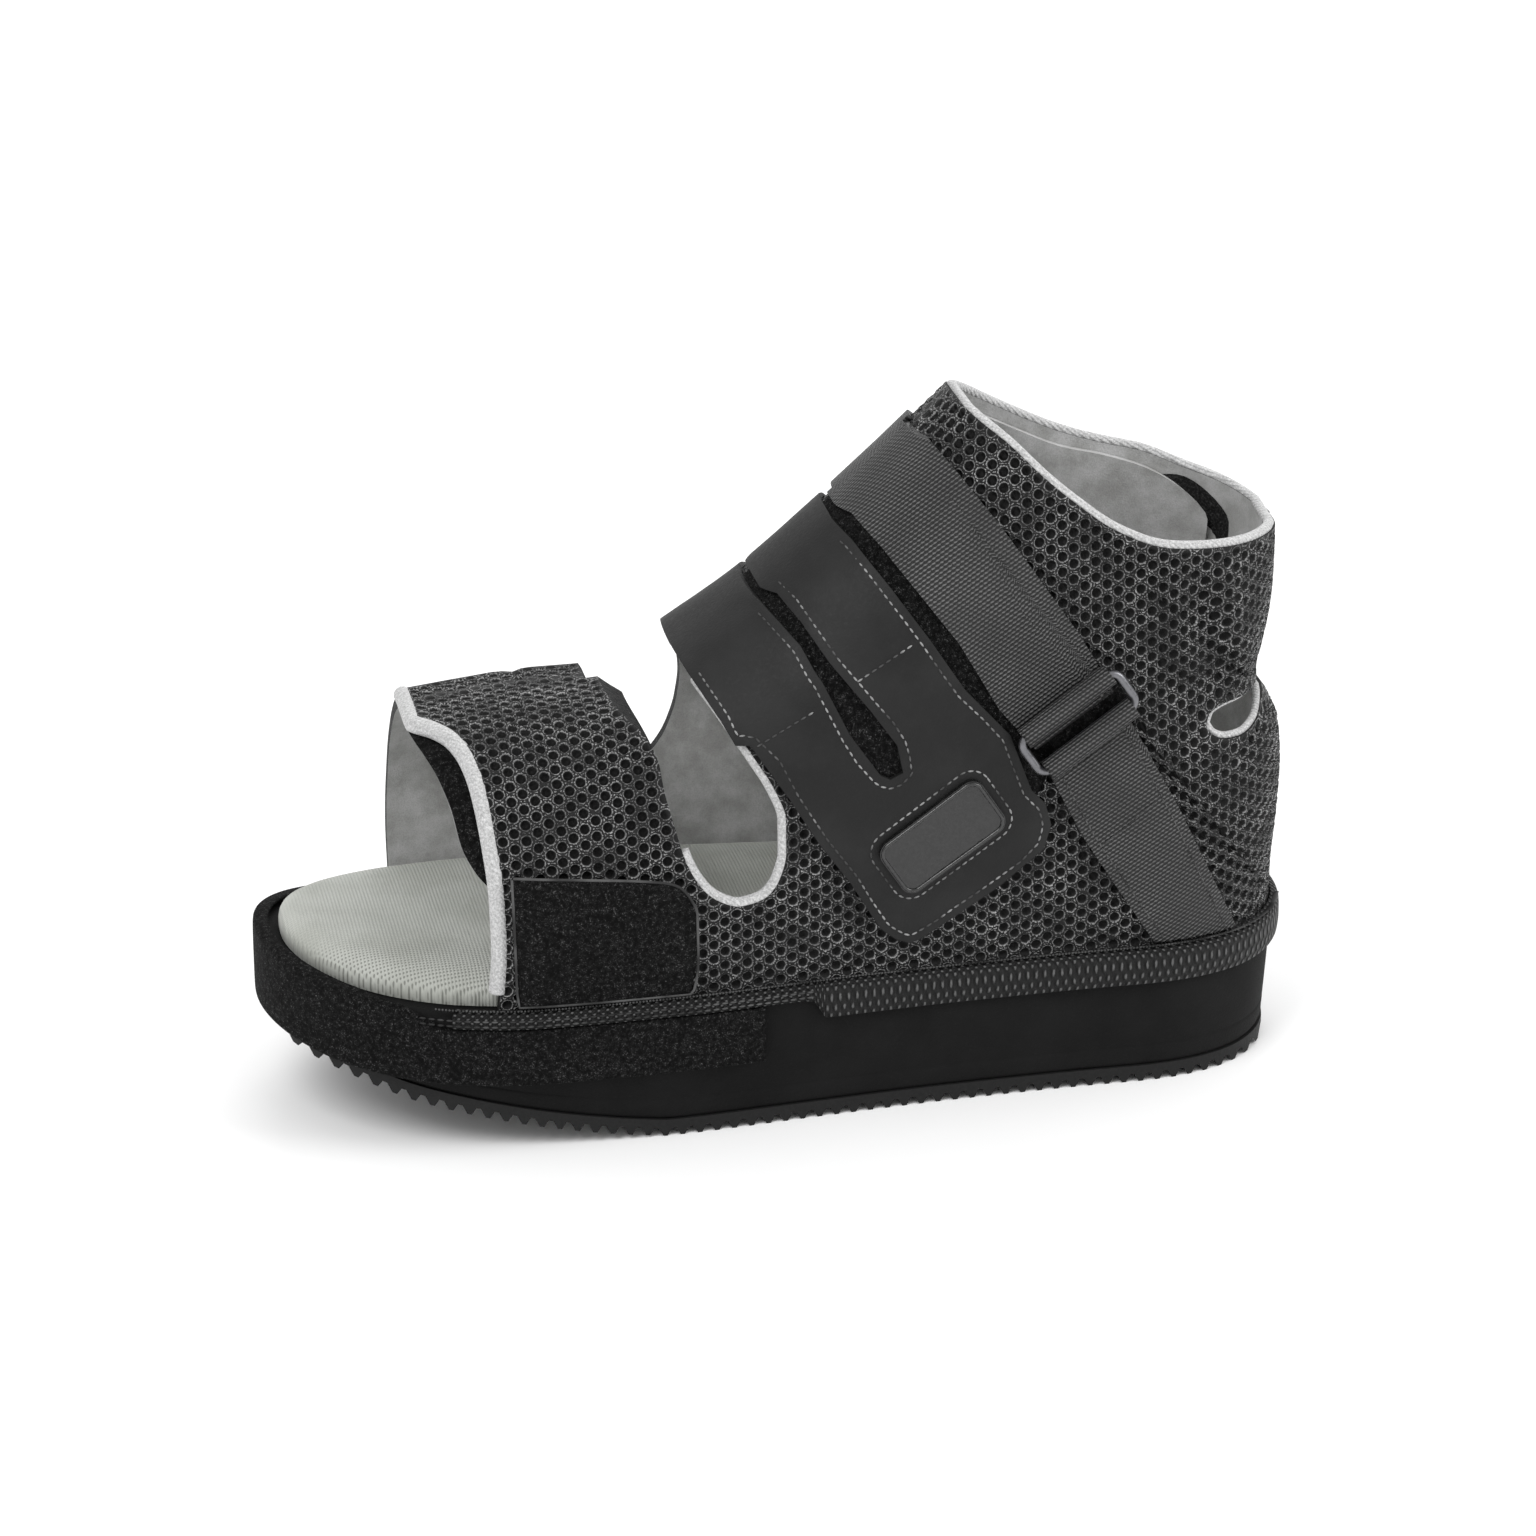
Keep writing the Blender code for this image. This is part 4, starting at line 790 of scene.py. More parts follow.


# Polyester webbing, twill woven: black ribs 1.05 mm apart crossed by 1.5 mm slants,
# with a painted satin highlight on each rib whose strength varies in broad clouds.
def webbing(name="black polyester webbing", angle=0.0):
    """Twill ribs across the strap: angle is the strap's run in cloth coordinates."""
    n = Nodes(name, 0.45, Specular_IOR_Level=0.35)
    u, v = n.uv(angle)
    tau = 2 * math.pi
    ribs = n.add("Math.SINE", n.add("Math.MULTIPLY", v, tau / 1.05))
    cross = n.add("Math.SINE", n.add("Math.MULTIPLY", n.add("Math.ADD", u, n.add("Math.MULTIPLY", v, 0.55)),
                                     tau / 1.5))
    at = n.add("CombineXYZ", u, v)
    fuzz = n.add("TexNoise", Vector=at, Scale=2.6, Detail=2.0, Roughness=0.6)
    tone = n.add("TexNoise", Vector=at, Scale=0.06, Detail=2.0)
    weave = n.add("Math.ADD", n.add("Math.MULTIPLY", ribs, 0.5), n.add("Math.MULTIPLY", cross, 0.25))
    # painted highlight: pale grey on the rib tops stands in for light on the black webbing
    painted_highlight = n.add("Math.MULTIPLY", n.add("MapRange", n.add("Math.ADD", weave,
            n.add("Math.MULTIPLY", fuzz, 0.9)), 0.35, 1.15, interpolation_type="SMOOTHSTEP"),
            n.add("MapRange", tone, 0.2, 0.8, 0.55, 1.0, interpolation_type="SMOOTHSTEP"))
    colour = n.add("Mix", painted_highlight, i6=linear("0b0b0b"), i7=linear("666666"), out=2, data_type="RGBA")
    return n.finish(colour, n.add("Math.ADD", weave, n.add("Math.MULTIPLY", fuzz, 0.4)), 0.22)


# Nylon loop pile, brushed: 1.3 mm curls in deep black with 0.4 mm painted pale glints where a loop turns.
def pile():
    n = Nodes("black loop pile", 0.85, Specular_IOR_Level=0.1)
    at = n.place()
    curl, fine = n.add("TexNoise", Vector=at, Scale=0.75, Detail=4.0, Roughness=0.72), n.add("TexNoise",
            Vector=at, Scale=2.4, Detail=2.0, Roughness=0.7)
    # painted glint: pale specks where a loop turns stand in for highlights
    painted_glint = n.add("Math.MULTIPLY", n.add("MapRange", fine, 0.5, 0.78, interpolation_type="SMOOTHSTEP"),
                  n.add("MapRange", curl, 0.42, 0.66, interpolation_type="SMOOTHSTEP"))
    colour = n.add("Mix", n.add("MapRange", curl, 0.35, 0.7, interpolation_type="SMOOTHSTEP"),
                   i6=linear("060606"), i7=linear("1a1a1a"), out=2, data_type="RGBA")
    colour = n.add("Mix", n.add("Math.MULTIPLY", painted_glint, 0.8), i6=colour, i7=linear("7a7a7a"), out=2,
                   data_type="RGBA")
    return n.finish(colour, n.add("Math.ADD", curl, n.add("Math.MULTIPLY", fine, 0.5)), 1.3)


# Polyester tape, woven in a 2.5 by 2.1 mm diamond: black, with painted highlights where the weave rises and
# painted shade where it dips.
def tape():
    n = Nodes("black woven tape", 0.55, Specular_IOR_Level=0.25)
    u, v = n.uv()
    tau = 2 * math.pi
    a = n.add("Math.SINE", n.add("Math.MULTIPLY", u, tau / 2.5))
    b = n.add("Math.SINE", n.add("Math.MULTIPLY", v, tau / 2.1))
    weave = n.add("Math.MULTIPLY", a, b)
    at = n.add("CombineXYZ", u, v)
    yarn = n.add("TexNoise", Vector=at, Scale=1.9, Detail=2.0, Roughness=0.6)
    # painted highlight on the rises and painted shade in the dips of the black weave
    painted_highlight = n.add("MapRange", n.add("Math.ADD", weave, n.add("Math.MULTIPLY",
            n.add("Math.SUBTRACT", yarn, 0.5), 1.2)), 0.3, 1.0, interpolation_type="SMOOTHSTEP")
    colour = n.add("Mix", painted_highlight, i6=linear("0d0d0d"), i7=linear("5b5b5b"), out=2, data_type="RGBA")
    return n.finish(colour, n.add("Math.ADD", weave, n.add("Math.MULTIPLY", yarn, 0.6)), 0.6)


# EVA foam, moulded: matt black with fine 0.7 mm pores and faint 25 mm clouds.
def foam():
    n = Nodes("black EVA foam", 0.75, Specular_IOR_Level=0.12)
    at = n.place()
    pore, cloud = n.add("TexNoise", Vector=at, Scale=1.4, Detail=3.0, Roughness=0.7), n.add("TexNoise",
            Vector=at, Scale=0.04, Detail=3.0, Roughness=0.6)
    colour = n.add("Mix", n.add("MapRange", cloud, 0.3, 0.7, interpolation_type="SMOOTHSTEP"),
                   i6=linear("0f0f0f"), i7=linear("161616"), out=2, data_type="RGBA")
    colour = n.add("Mix", n.add("Math.MULTIPLY", n.add("MapRange", pore, 0.55, 0.8,
                                                       interpolation_type="SMOOTHSTEP"), 0.35), i6=colour,
                                                       i7=linear("262626"), out=2, data_type="RGBA")
    return n.finish(colour, pore, 0.2)


# Moulded rubber: black with a 0.9 mm grain, dull on the sole and glossy on the badge.
def rubber(name="black rubber", rough=0.6, tint="181818", gloss=0.2):
    n = Nodes(name, rough, Specular_IOR_Level=gloss)
    at = n.place()
    grain = n.add("TexNoise", Vector=at, Scale=1.1, Detail=3.0, Roughness=0.6)
    colour = n.add("Mix", n.add("MapRange", grain, 0.3, 0.8, interpolation_type="SMOOTHSTEP"),
                   i6=linear(tint), i7=linear("1e1e1e"), out=2, data_type="RGBA")
    return n.finish(colour, grain, 0.12)


# Polyester knit glued over the footbed: warm light grey with a 2 mm diagonal dot,
# stronger along the near edge.
def knit():
    n = Nodes("light grey knitted insole cover", 0.85, Sheen_Weight=0.2)
    x, y, _ = n.add("SeparateXYZ", n.place()).node.outputs
    tau = 2 * math.pi
    p = n.add("Math.SINE", n.add("Math.MULTIPLY", n.add("Math.ADD", x, y), tau / 2.0))
    q = n.add("Math.SINE", n.add("Math.MULTIPLY", n.add("Math.SUBTRACT", x, y), tau / 2.0))
    cell = n.add("Math.MULTIPLY", p, q)
    soft, fine = n.add("TexNoise", Vector=n.place(), Scale=0.05, Detail=3.0), n.add("TexNoise",
            Vector=n.place(), Scale=1.8, Detail=2.0)
    colour = n.add("Mix", n.add("MapRange", soft, 0.3, 0.7, interpolation_type="SMOOTHSTEP"),
                   i6=linear("a4a69f"), i7=linear("b3b5af"), out=2, data_type="RGBA")
    rim = n.add("MapRange", n.add("Math.ADD", y, n.add("Math.MULTIPLY", x, 0.05)), -24.0, -36.0,
                interpolation_type="SMOOTHSTEP")
    colour = n.add("Mix", n.add("Math.MULTIPLY", n.add("MapRange", cell, 0.0, 0.8,
                                                       interpolation_type="SMOOTHSTEP"),
                                                       n.add("Math.MULTIPLY_ADD", rim, 0.55, 0.16)),
                                                       i6=colour, i7=linear("5c5e58"), out=2,
                                                       data_type="RGBA")
    return n.finish(colour, n.add("Math.ADD", n.add("Math.MULTIPLY", cell, -0.5),
                                  n.add("Math.MULTIPLY", fine, 0.3)), 0.3)


# Spun polyester thread: two close greys that drift along the seam, with 0.25 mm fibres.
def thread(tint="4d4d4d", other="7a7a7a"):
    n = Nodes("polyester thread " + tint, 0.7, Specular_IOR_Level=0.2)
    fine, slow = n.add("TexNoise", Vector=n.place(), Scale=4.0, Detail=2.0), n.add("TexNoise",
            Vector=n.place(), Scale=0.09, Detail=2.0)
    colour = n.add("Mix", n.add("MapRange", slow, 0.38, 0.62, interpolation_type="SMOOTHSTEP"),
                   i6=linear(tint), i7=linear(other), out=2, data_type="RGBA")
    return n.finish(n.add("Mix", n.add("Math.MULTIPLY", fine, 0.4), i6=colour, i7=linear("141414"), out=2,
                          data_type="RGBA"), fine, 0.1)


# Steel wire, black nickel plated: a dark metal with 2 mm scuffs that change its gloss.
def dark_metal():
    n = Nodes("dark plated metal", 0.3, Metallic=0.9)
    scuff = n.add("TexNoise", Vector=n.place(), Scale=0.5, Detail=4.0, Roughness=0.7)
    return n.finish(n.add("Mix", scuff, i6=linear("5a5a5c"), i7=linear("86868a"), out=2, data_type="RGBA"),
                    scuff, 0.03, 1.0, n.add("MapRange", scuff, 0.3, 0.7, 0.24, 0.4,
                                            interpolation_type="SMOOTHSTEP"))


# Soft forms: near (-1) or far (1) side, start and end as shares of LENGTH and HEIGHT,
# half width and height in millimetres
CREASES = [
    (-1, (0.885, 0.73), (0.905, 0.60), 5.0, -2.4),
    (-1, (0.912, 0.74), (0.940, 0.61), 5.0, 1.8),
    (-1, (0.850, 0.62), (0.893, 0.55), 6.0, -1.4),
    (-1, (0.800, 0.80), (0.840, 0.70), 8.0, -0.8),
    (1, (0.87, 0.62), (0.93, 0.70), 6.0, -1.5),
    (1, (0.45, 0.62), (0.60, 0.40), 9.0, -1.0),
    (-1, (0.690, 0.93), (0.660, 0.84), 6.0, -0.9),
    (-1, (0.40, 0.33), (0.55, 0.24), 8.0, -0.6),
]


def creased(co):
    """Points moved in or out along the creases of the upper."""
    out = co.copy()
    for side, a, b, wide, deep in CREASES:
        a = np.array([along(a[0]), a[1] * HEIGHT])
        b = np.array([along(b[0]), b[1] * HEIGHT])
        p = co[:, ::2]
        t = np.clip(((p - a) @ (b - a)) / ((b - a) @ (b - a)), 0, 1)
        off = np.linalg.norm(p - a - t[:, None] * (b - a), axis=1) / (wide * MM)
        on = (np.sign(co[:, 1]) == side) * np.clip(np.abs(co[:, 1]) / (8 * MM), 0, 1)
        out[:, 1] += side * on * deep * MM * np.exp(-off * off)
    return out


def soften(obj):
    """Press the creases into a piece."""
    mesh = obj.data
    co = np.empty(len(mesh.vertices) * 3)
    mesh.vertices.foreach_get("co", co)
    mesh.vertices.foreach_set("co", creased(co.reshape(-1, 3)).ravel())
    mesh.update()
    return obj


def piece(obj, slot, *nodes):
    """Ride a finished piece on the shoe and hide the CAD nodes that it stands for; slot is not used."""
    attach(obj, "root")
    if nodes:
        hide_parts(*nodes)
    return obj


def add_uv(obj):
    lay_uv(obj.data)
    return obj


def covered(points):
    """True where a piece of the closures hides the near side of the upper."""
    x, z = share_of(points[:, 0]), points[:, 2] / HEIGHT
    hidden = np.zeros(len(points), bool)
    for rows in (PATCH, PAD, STRAP_FRONT + STRAP_BACK, ANCHOR):
        rows = np.array(rows)
        inside, near = np.zeros(len(points), bool), np.full(len(points), 9.0)
        for a, b in zip(rows, np.roll(rows, -1, 0)):
            cross = (b[0] - a[0]) * (z - a[1]) / (b[1] - a[1] + 1e-12) + a[0]
            inside ^= ((a[1] > z) != (b[1] > z)) & (x < cross)
            d = (b - a) * [LENGTH, HEIGHT]
            px, pz = (x - a[0]) * LENGTH, (z - a[1]) * HEIGHT
            t = np.clip((px * d[0] + pz * d[1]) / (d @ d), 0, 1)
            near = np.minimum(near, np.hypot(px - t * d[0], pz - t * d[1]))
        hidden |= inside & (near > 4 * MM)
    return hidden & (points[:, 1] < 2 * MM)


def raise_net(obj):
    """Sink the holes of the mesh into the cloth, by its cloth coordinates."""
    mesh = obj.data
    co, uv = np.empty(len(mesh.vertices) * 3), np.zeros((len(mesh.vertices), 2))
    no = np.empty(len(mesh.vertices) * 3)
    mesh.vertices.foreach_get("co", co)
    mesh.vertices.foreach_get("normal", no)
    loops, at = np.empty(len(mesh.loops), int), np.empty(len(mesh.loops) * 2)
    mesh.loops.foreach_get("vertex_index", loops)
    mesh.uv_layers["cloth"].data.foreach_get("uv", at)
    uv[loops] = at.reshape(-1, 2)
    gap = np.full(len(uv), 9.0)
    for k in (0.0, 0.5):
        a = np.mod(uv[:, 1] + k * CELL_UP, CELL_UP) - CELL_UP / 2
        b = np.mod(uv[:, 0] + k * CELL_ALONG, CELL_ALONG) - CELL_ALONG / 2
        gap = np.minimum(gap, np.hypot(a, b))
    t = np.clip((gap - 0.75) / 0.95, 0, 1)
    rim = t * t * (3 - 2 * t)
    crown = np.clip((gap - 1.6) / 0.8, 0, 1)
    edge = set()
    count = {}
    for poly in mesh.polygons:
        for key in poly.edge_keys:
            count[key] = count.get(key, 0) + 1
    for key, n in count.items():
        if n == 1:
            edge.update(key)
    spots = co.reshape(-1, 3)
    tree = KDTree(len(edge))
    for k in edge:
        tree.insert(Vector(spots[k]), k)
    tree.balance()
    away = np.array([tree.find(Vector(q))[2] for q in spots])
    push = (-1.8 * (1 - rim) + 0.15 * crown) * MM * np.clip((away - 0.8 * MM) / (1.5 * MM), 0, 1)
    mesh.vertices.foreach_set("co", (co.reshape(-1, 3) + no.reshape(-1, 3) * push[:, None]).ravel())
    mesh.update()


def upper_skin(cloth, inside, rim):
    """The wall of the upper, cut open, with its mesh face on each side as a piece of its own."""
    wall = fine_shell("upper_wall", 0.0, WALL, lap=True)
    for m in (cloth, inside, rim):
        wall.data.materials.append(m)
    wide = BALL_WIDTH
    for name, rows, corners in (("front", (NEAR_FRONT, FAR_FRONT),
                                 ((0.155, 0.75), (0.0, 0.75), (0.0, 0.10))),
                                ("scallop", (NEAR_SCALLOP, FAR_SCALLOP), ((0.356, 0.75),)),
                                ("collar", (NEAR_COLLAR, FAR_COLLAR),
                                 ((1.05, 0.775), (1.05, 1.25), (0.659, 1.25)))):
        for side, edge in zip((-1, 1), rows):
            line = smooth_line(edge, 6) + list(corners)
            if name == "front":
                line = [(edge[0][0], 0.10)] + line
            y = sorted((0.0, side * wide))
            cut(wall, side_prism(f"cut_{name}_{'near' if side < 0 else 'far'}", line, *y))
    cut(wall, side_prism("cut_heel_slot", smooth_line(HEEL_SLOT + HEEL_SLOT[:1], 4)[:-1], -wide, wide))
    wall = soften(settle(wall, 40))
    made = []
    for name, side in (("near_mesh", -1), ("far_mesh", 1)):
        skin = new_object(name, wall.data.copy())
        bm = bmesh.new()
        bm.from_mesh(skin.data)
        def keep(f):
            y = f.calc_center_median().y
            return f.material_index == 0 and (y < 2 * MM if side < 0 else y >= 2 * MM)
        bmesh.ops.delete(bm, geom=[f for f in bm.faces if not keep(f)], context="FACES")
        bmesh.ops.triangulate(bm, faces=bm.faces)
        mids = np.array([f.calc_center_median() for f in bm.faces])
        hide = covered(mids)
        edges = {e for f, h in zip(bm.faces, hide) if not h for e in f.edges}
        bmesh.ops.subdivide_edges(bm, edges=[e for e in bm.edges if e in edges], cuts=3 if side < 0 else 2,
                                  use_grid_fill=True)
        bmesh.ops.triangulate(bm, faces=[f for f in bm.faces if len(f.verts) > 4])
        bm.to_mesh(skin.data)
        bm.free()
        skin.data.shade_smooth()
        lay_uv(skin.data)
        raise_net(skin)
        piece(skin, "spacer_mesh", "upper")
        made.append(skin)
    bm = bmesh.new()
    bm.from_mesh(wall.data)
    bmesh.ops.delete(bm, geom=[f for f in bm.faces if f.material_index == 0], context="FACES")
    bm.to_mesh(wall.data)
    bm.free()
    piece(wall, "grey_lining", "upper")
    return made


def fine_cover(name, rise, thick, rows, mat, y_end, y_start=None, edge=0.0):
    obj = fine_shell(name, -(rise + thick), thick)
    obj.data.materials.append(mat)
    cut(obj, side_prism(f"outline_{name}", rows, -BALL_WIDTH if y_start is None else y_start, y_end),
        keep=True)
    obj = settle(obj)
    if edge:
        b = obj.modifiers.new("edge", "BEVEL")
        b.width, b.segments, b.limit_method, b.angle_limit = edge, 2, "ANGLE", math.radians(50)
        obj = settle(obj, 45)
    soften(obj)
    return add_uv(obj)


def tube_line(name, points, radius, mat, closed=False, flat=1.0, turns=12):
    """Round tube through points; flat is not used."""
    curve = bpy.data.curves.new(name, "CURVE")
    curve.dimensions = "3D"
    curve.bevel_depth, curve.bevel_resolution, curve.use_fill_caps = radius, 4, not closed
    line = curve.splines.new("POLY")
    line.points.add(len(points) - 1)
    for p, q in zip(line.points, points):
        p.co = (*q, 1)
    line.use_cyclic_u = closed
    curve.materials.append(mat)
    obj = bpy.data.objects.new(name, curve)
    bpy.context.scene.collection.objects.link(obj)
    obj = settle(obj)
    obj.data.shade_smooth()
    return soften(obj)


def on_wall(x, z, side, depth):
    """Point inside the wall, depth under its outer surface."""
    w = lambda a, b: float(foot_half(a, b, 0.0))
    step = 0.01 * MM
    slope_x = (w(x + step, z) - w(x - step, z)) / (2 * step)
    slope_z = (w(x, z) - w(x, z - step)) / step
    out = np.array([-slope_x, side, -slope_z])
    return np.array([x, side * w(x, z), z]) - out / np.linalg.norm(out) * depth


def bind_edges(light):
    """Rolled binding of the forefoot flap and piping on the scallop, heel slot and collar."""
    front = []
    for share, up in smooth_line(NEAR_FRONT, 5):
        x, z = along(share) - 0.4 * EDGE_TOE, up * HEIGHT
        if z > feather_z(x) + EDGE_TOE and head_z(x) > z:
            front.append(on_wall(x, z, -1, WALL / 2))
    tip = along(0.155) - 0.4 * EDGE_TOE
    front += [on_wall(tip, float(head_z(tip)) - gap * MM, side, WALL / 2)
              for side, gap in ((-1, 0.16), (-1, 0.06), (-1, 0.015), (1, 0.015), (1, 0.06), (1, 0.16),
                                (1, 0.35))]
    piece(tube_line("front_binding", front, EDGE_TOE * 1.05, light), "grey_binding", "binding_front")
    scallop = [p for p in edge_path(NEAR_SCALLOP, -1, 0.4 * MM, WALL / 2,
                                    5) if p[1] < 0 and (p[0] > along(0.41) or p[2] < 0.44 * HEIGHT)]
    piece(tube_line("scallop_piping", scallop, EDGE_THIN * 1.45, light), "grey_binding", "binding_scallop")
    loop = []
    for side in (-1, 1):
        run = [p for p in edge_path(HEEL_SLOT + HEEL_SLOT[:1], side, 0.4 * MM, WALL / 2,
                                    16) if abs(p[1]) > 0.5 * MM]
        cut_at = max(range(1, len(run)), key=lambda k: math.dist(run[k - 1], run[k]))
        run = run[cut_at:] + run[:cut_at]
        loop += run if side < 0 else run[::-1]
    piece(tube_line("slot_piping", loop, EDGE_THIN * 0.95, light, closed=True), "grey_binding")
    near = [p for p in edge_path(NEAR_COLLAR, -1, 0.4 * MM, WALL / 2, 5) if p[1] < 0]
    far = [p for p in edge_path(FAR_COLLAR, 1, 0.4 * MM, WALL / 2, 5) if p[1] > 0]
    piece(tube_line("collar_piping", near + far[::-1], EDGE_THIN * 1.25, light, closed=True), "grey_binding",
          "binding_collar")


def sole_sweep(name, section, start, end, mat, turn, count):
    """Band round one end of the sole with cloth coordinates; section(share) gives (inset, height) points."""
    angle = np.linspace(0, 1, count + 1)
    reach = (end - start) * (2 * angle - 1) ** 2
    share = start + reach if turn == "toe" else end - reach
    side = np.where(angle < 0.5, -1.0, 1.0)
    side[count // 2] = 0
    rows = []
    for s, sign in zip(share, side):
        row = []
        for inset, z in section(s):
            lo, hi = -LENGTH / 2 + inset, LENGTH / 2 - inset
            x = lo + (hi - lo) * s
            row.append((x, sign * float(half_width(x, inset)), z))
        rows.append(row)
    rows = np.array(rows)
    n = rows.shape[1]
    run = np.concatenate([[0], np.cumsum(np.linalg.norm(np.diff(rows[:, 0], axis=0), axis=1))]) * 1000
    mesh = bpy.data.meshes.new(name)
    faces = [(k * n + i, k * n + (i + 1) % n, (k + 1) * n + (i + 1) % n,
              (k + 1) * n + i) for k in range(count) for i in range(n)]
    faces += [tuple(range(n))[::-1], tuple(count * n + i for i in range(n))]
    mesh.from_pydata([tuple(p) for p in rows.reshape(-1, 3)], [], faces)
    layer = mesh.uv_layers.new(name="cloth")
    across = np.concatenate([[0], np.cumsum(np.linalg.norm(np.diff(rows[0], axis=0), axis=1))]) * 1000
    for poly in mesh.polygons:
        for li in poly.loop_indices:
            k, i = divmod(mesh.loops[li].vertex_index, n)
            layer.data[li].uv = (run[k], across[i])
    bm = bmesh.new()
    bm.from_mesh(mesh)
    bmesh.ops.remove_doubles(bm, verts=bm.verts, dist=1e-6)
    bmesh.ops.recalc_face_normals(bm, faces=bm.faces)
    bm.to_mesh(mesh)
    bm.free()
    mesh.shade_smooth()
    mesh.set_sharp_from_angle(angle=math.radians(50))
    return new_object(name, mesh, mat)


ROUND_SHARE = 0.35           # how far along its two edges a corner's rounding starts


def rounded_section(points, steps=4):
    """Corners of a section rounded with short curves."""
    p = np.array(points)
    out = []
    for i in range(len(p)):
        a, b, c = p[i - 1], p[i], p[(i + 1) % len(p)]
        out += [tuple(b + (a - b) * ROUND_SHARE * (1 - t) ** 2 + (c - b) * ROUND_SHARE * t * t)
                for t in np.linspace(0, 1, steps)]
    return out


def fine_welt(mat):
    tail = 0.52
    def section(s):
        x = along(s)
        deep = WELT_SHALLOW + (WELT_DEEP - WELT_SHALLOW) * ramp(tail - 0.012, tail, s)
        top, low = float(feather_z(x)), float(feather_z(x)) - deep
        return rounded_section([(0.5 * MM, low), (0.0, low + 0.4 * (top - low)), (0.1 * MM, top - 1.0 * MM),
                                (0.7 * MM, top + 0.8 * MM),
                (WELT_LEDGE, top + 1.5 * MM), (WELT_LEDGE, top + CLEAR), (TAPE_THICK,
                        top + CLEAR), (TAPE_THICK, low)])
    return piece(sole_sweep("welt_tape", section, 0.165, 1.0, mat, "heel", 240), "woven_tape", "welt")


def fine_band(mat):
    def section(s):
        x = along(s)
        lip = BAND_LIP + (TAPE_THICK + CLEAR - BAND_LIP) * ramp(0.07, 0.11, s)
        top = float(feather_z(x)) + BAND_RISE - (BAND_RISE + WELT_SHALLOW + CLEAR) * ramp(0.115, 0.155, s)
        low = float(feather_z(x)) - BAND_DEPTH
        shelf = top - 1.2 * MM
        return rounded_section([(0.4 * MM, low), (0.0, low + 1.0 * MM), (0.0, top - 1.2 * MM),
                                (0.6 * MM, top), (lip, top), (lip, shelf),
                (TAPE_THICK, shelf), (TAPE_THICK, low)])
    return piece(sole_sweep("toe_pile_band", section, 0.0, 0.461, mat, "toe", 200), "loop_pile", "toe_band")


def fine_outline(inset, xs):
    w = half_width(xs, inset)
    w[0] = w[-1] = 0
    return [(x, -y) for x, y in zip(xs, w)] + [(x, y) for x, y in zip(xs[1:-1], w[1:-1])][::-1]


def fine_stack(name, layers, mat):
    m = 120
    rings = []
    for inset, z in layers:
        t = (1 - np.cos(np.linspace(0, math.pi, m + 1))) / 2
        xs = -LENGTH / 2 + inset + (LENGTH - 2 * inset) * t
        rings.append([(x, y, float(z(x))) for x, y in fine_outline(inset, xs)])
    n = len(rings[0])
    points = [p for ring in rings for p in ring]
    faces = [(k * n + i, k * n + (i + 1) % n, (k + 1) * n + (i + 1) % n, (k + 1) * n + i)
             for k in range(len(rings) - 1) for i in range(n)]
    for base in (0, (len(rings) - 1) * n):
        far = lambda k: base + (n - k) % n
        faces.append((base, base + 1, far(1)))
        faces += [(base + k, base + k + 1, far(k + 1), far(k)) for k in range(1, n // 2 - 1)]
        faces.append((base + n // 2 - 1, base + n // 2, far(n // 2 - 1)))
    mesh = mesh_from(name, points, faces)
    mesh.set_sharp_from_angle(angle=math.radians(50))
    return new_object(name, mesh, mat)


def fine_midsole(mat):
    side = TAPE_THICK + 2 * CLEAR
    low, mid = side + MIDSOLE_TAPER, side + 0.45 * MIDSOLE_TAPER
    under = lambda x: floor_z(x) + OUTSOLE_THICK
    def level(share, drop=0.0):
        return lambda x: under(x) + share * (feather_z(x) - under(x)) - drop
    rows = [(low + 0.5 * MM, under), (low, level(0.03)), (low - 0.3 * MM, level(0.14)),
            (low - 0.3 * MM, level(0.15, -0.0)),
            (low - 0.1 * MM, level(0.165)), (low - 0.35 * MM, level(0.18)), (mid, level(0.5)), (side,
                    level(0.93)),
            (side + 0.9 * MM, level(1.0))]
    return piece(fine_stack("midsole_foam", rows, mat), "eva_foam", "midsole")


def fine_insole(mat):
    side = max(WELT_LEDGE + WALL + 6 * CLEAR, BAND_LIP + 2 * CLEAR) - 0.8 * MM
    half = HEEL_WIDTH / 2
    rows = [(0.004, 0.0), (0.0, 0.10), (0.0, 0.25), (0.006, 0.38), (0.018, 0.48), (0.04, 0.58),
            (0.075, 0.69), (0.11, 0.77), (0.17, 0.85),
            (0.28, 0.92), (0.42, 0.965), (0.60, 1.0)]
    obj = fine_stack("insole_pad", [(side + share * half, lambda x,
                                     up=up: feather_z(x) + CLEAR + up * INSOLE_DOME) for share, up in rows],
                                     mat)
    return piece(obj, "grey_knit", "insole")


def smooth_ring(mat):
    place, long, down, out = ring_frame()
    centre = place + out * BAR_RISE
    rows = corner_rows(WEBBING + 3 * CLEAR + RING_BAR, RING_GAP + RING_BAR, 3 * MM, 8)
    path = [tuple(centre + u * long + v * down) for u, v in rows]
    return piece(tube_line("wire_ring", path, RING_BAR / 2, mat, closed=True), "dark_metal", "ring")


def fine_strap(mat):
    obj = fine_shell("ankle_webbing", -(CLEAR + WEBBING_THICK), WEBBING_THICK)
    obj.data.materials.append(mat)
    near = side_prism("outline_strap_near", STRAP_FRONT + STRAP_BACK, -BALL_WIDTH, 5 * MM)
    far = side_prism("outline_strap_far", FAR_STRAP, 4 * MM, BALL_WIDTH)
    both = near.modifiers.new("far", "BOOLEAN")
    both.operation = "UNION"
    both.object = far
    cut(obj, near, keep=True)
    obj = settle(obj, 40)
    soften(obj)
    return piece(add_uv(obj), "webbing", "ankle_strap")


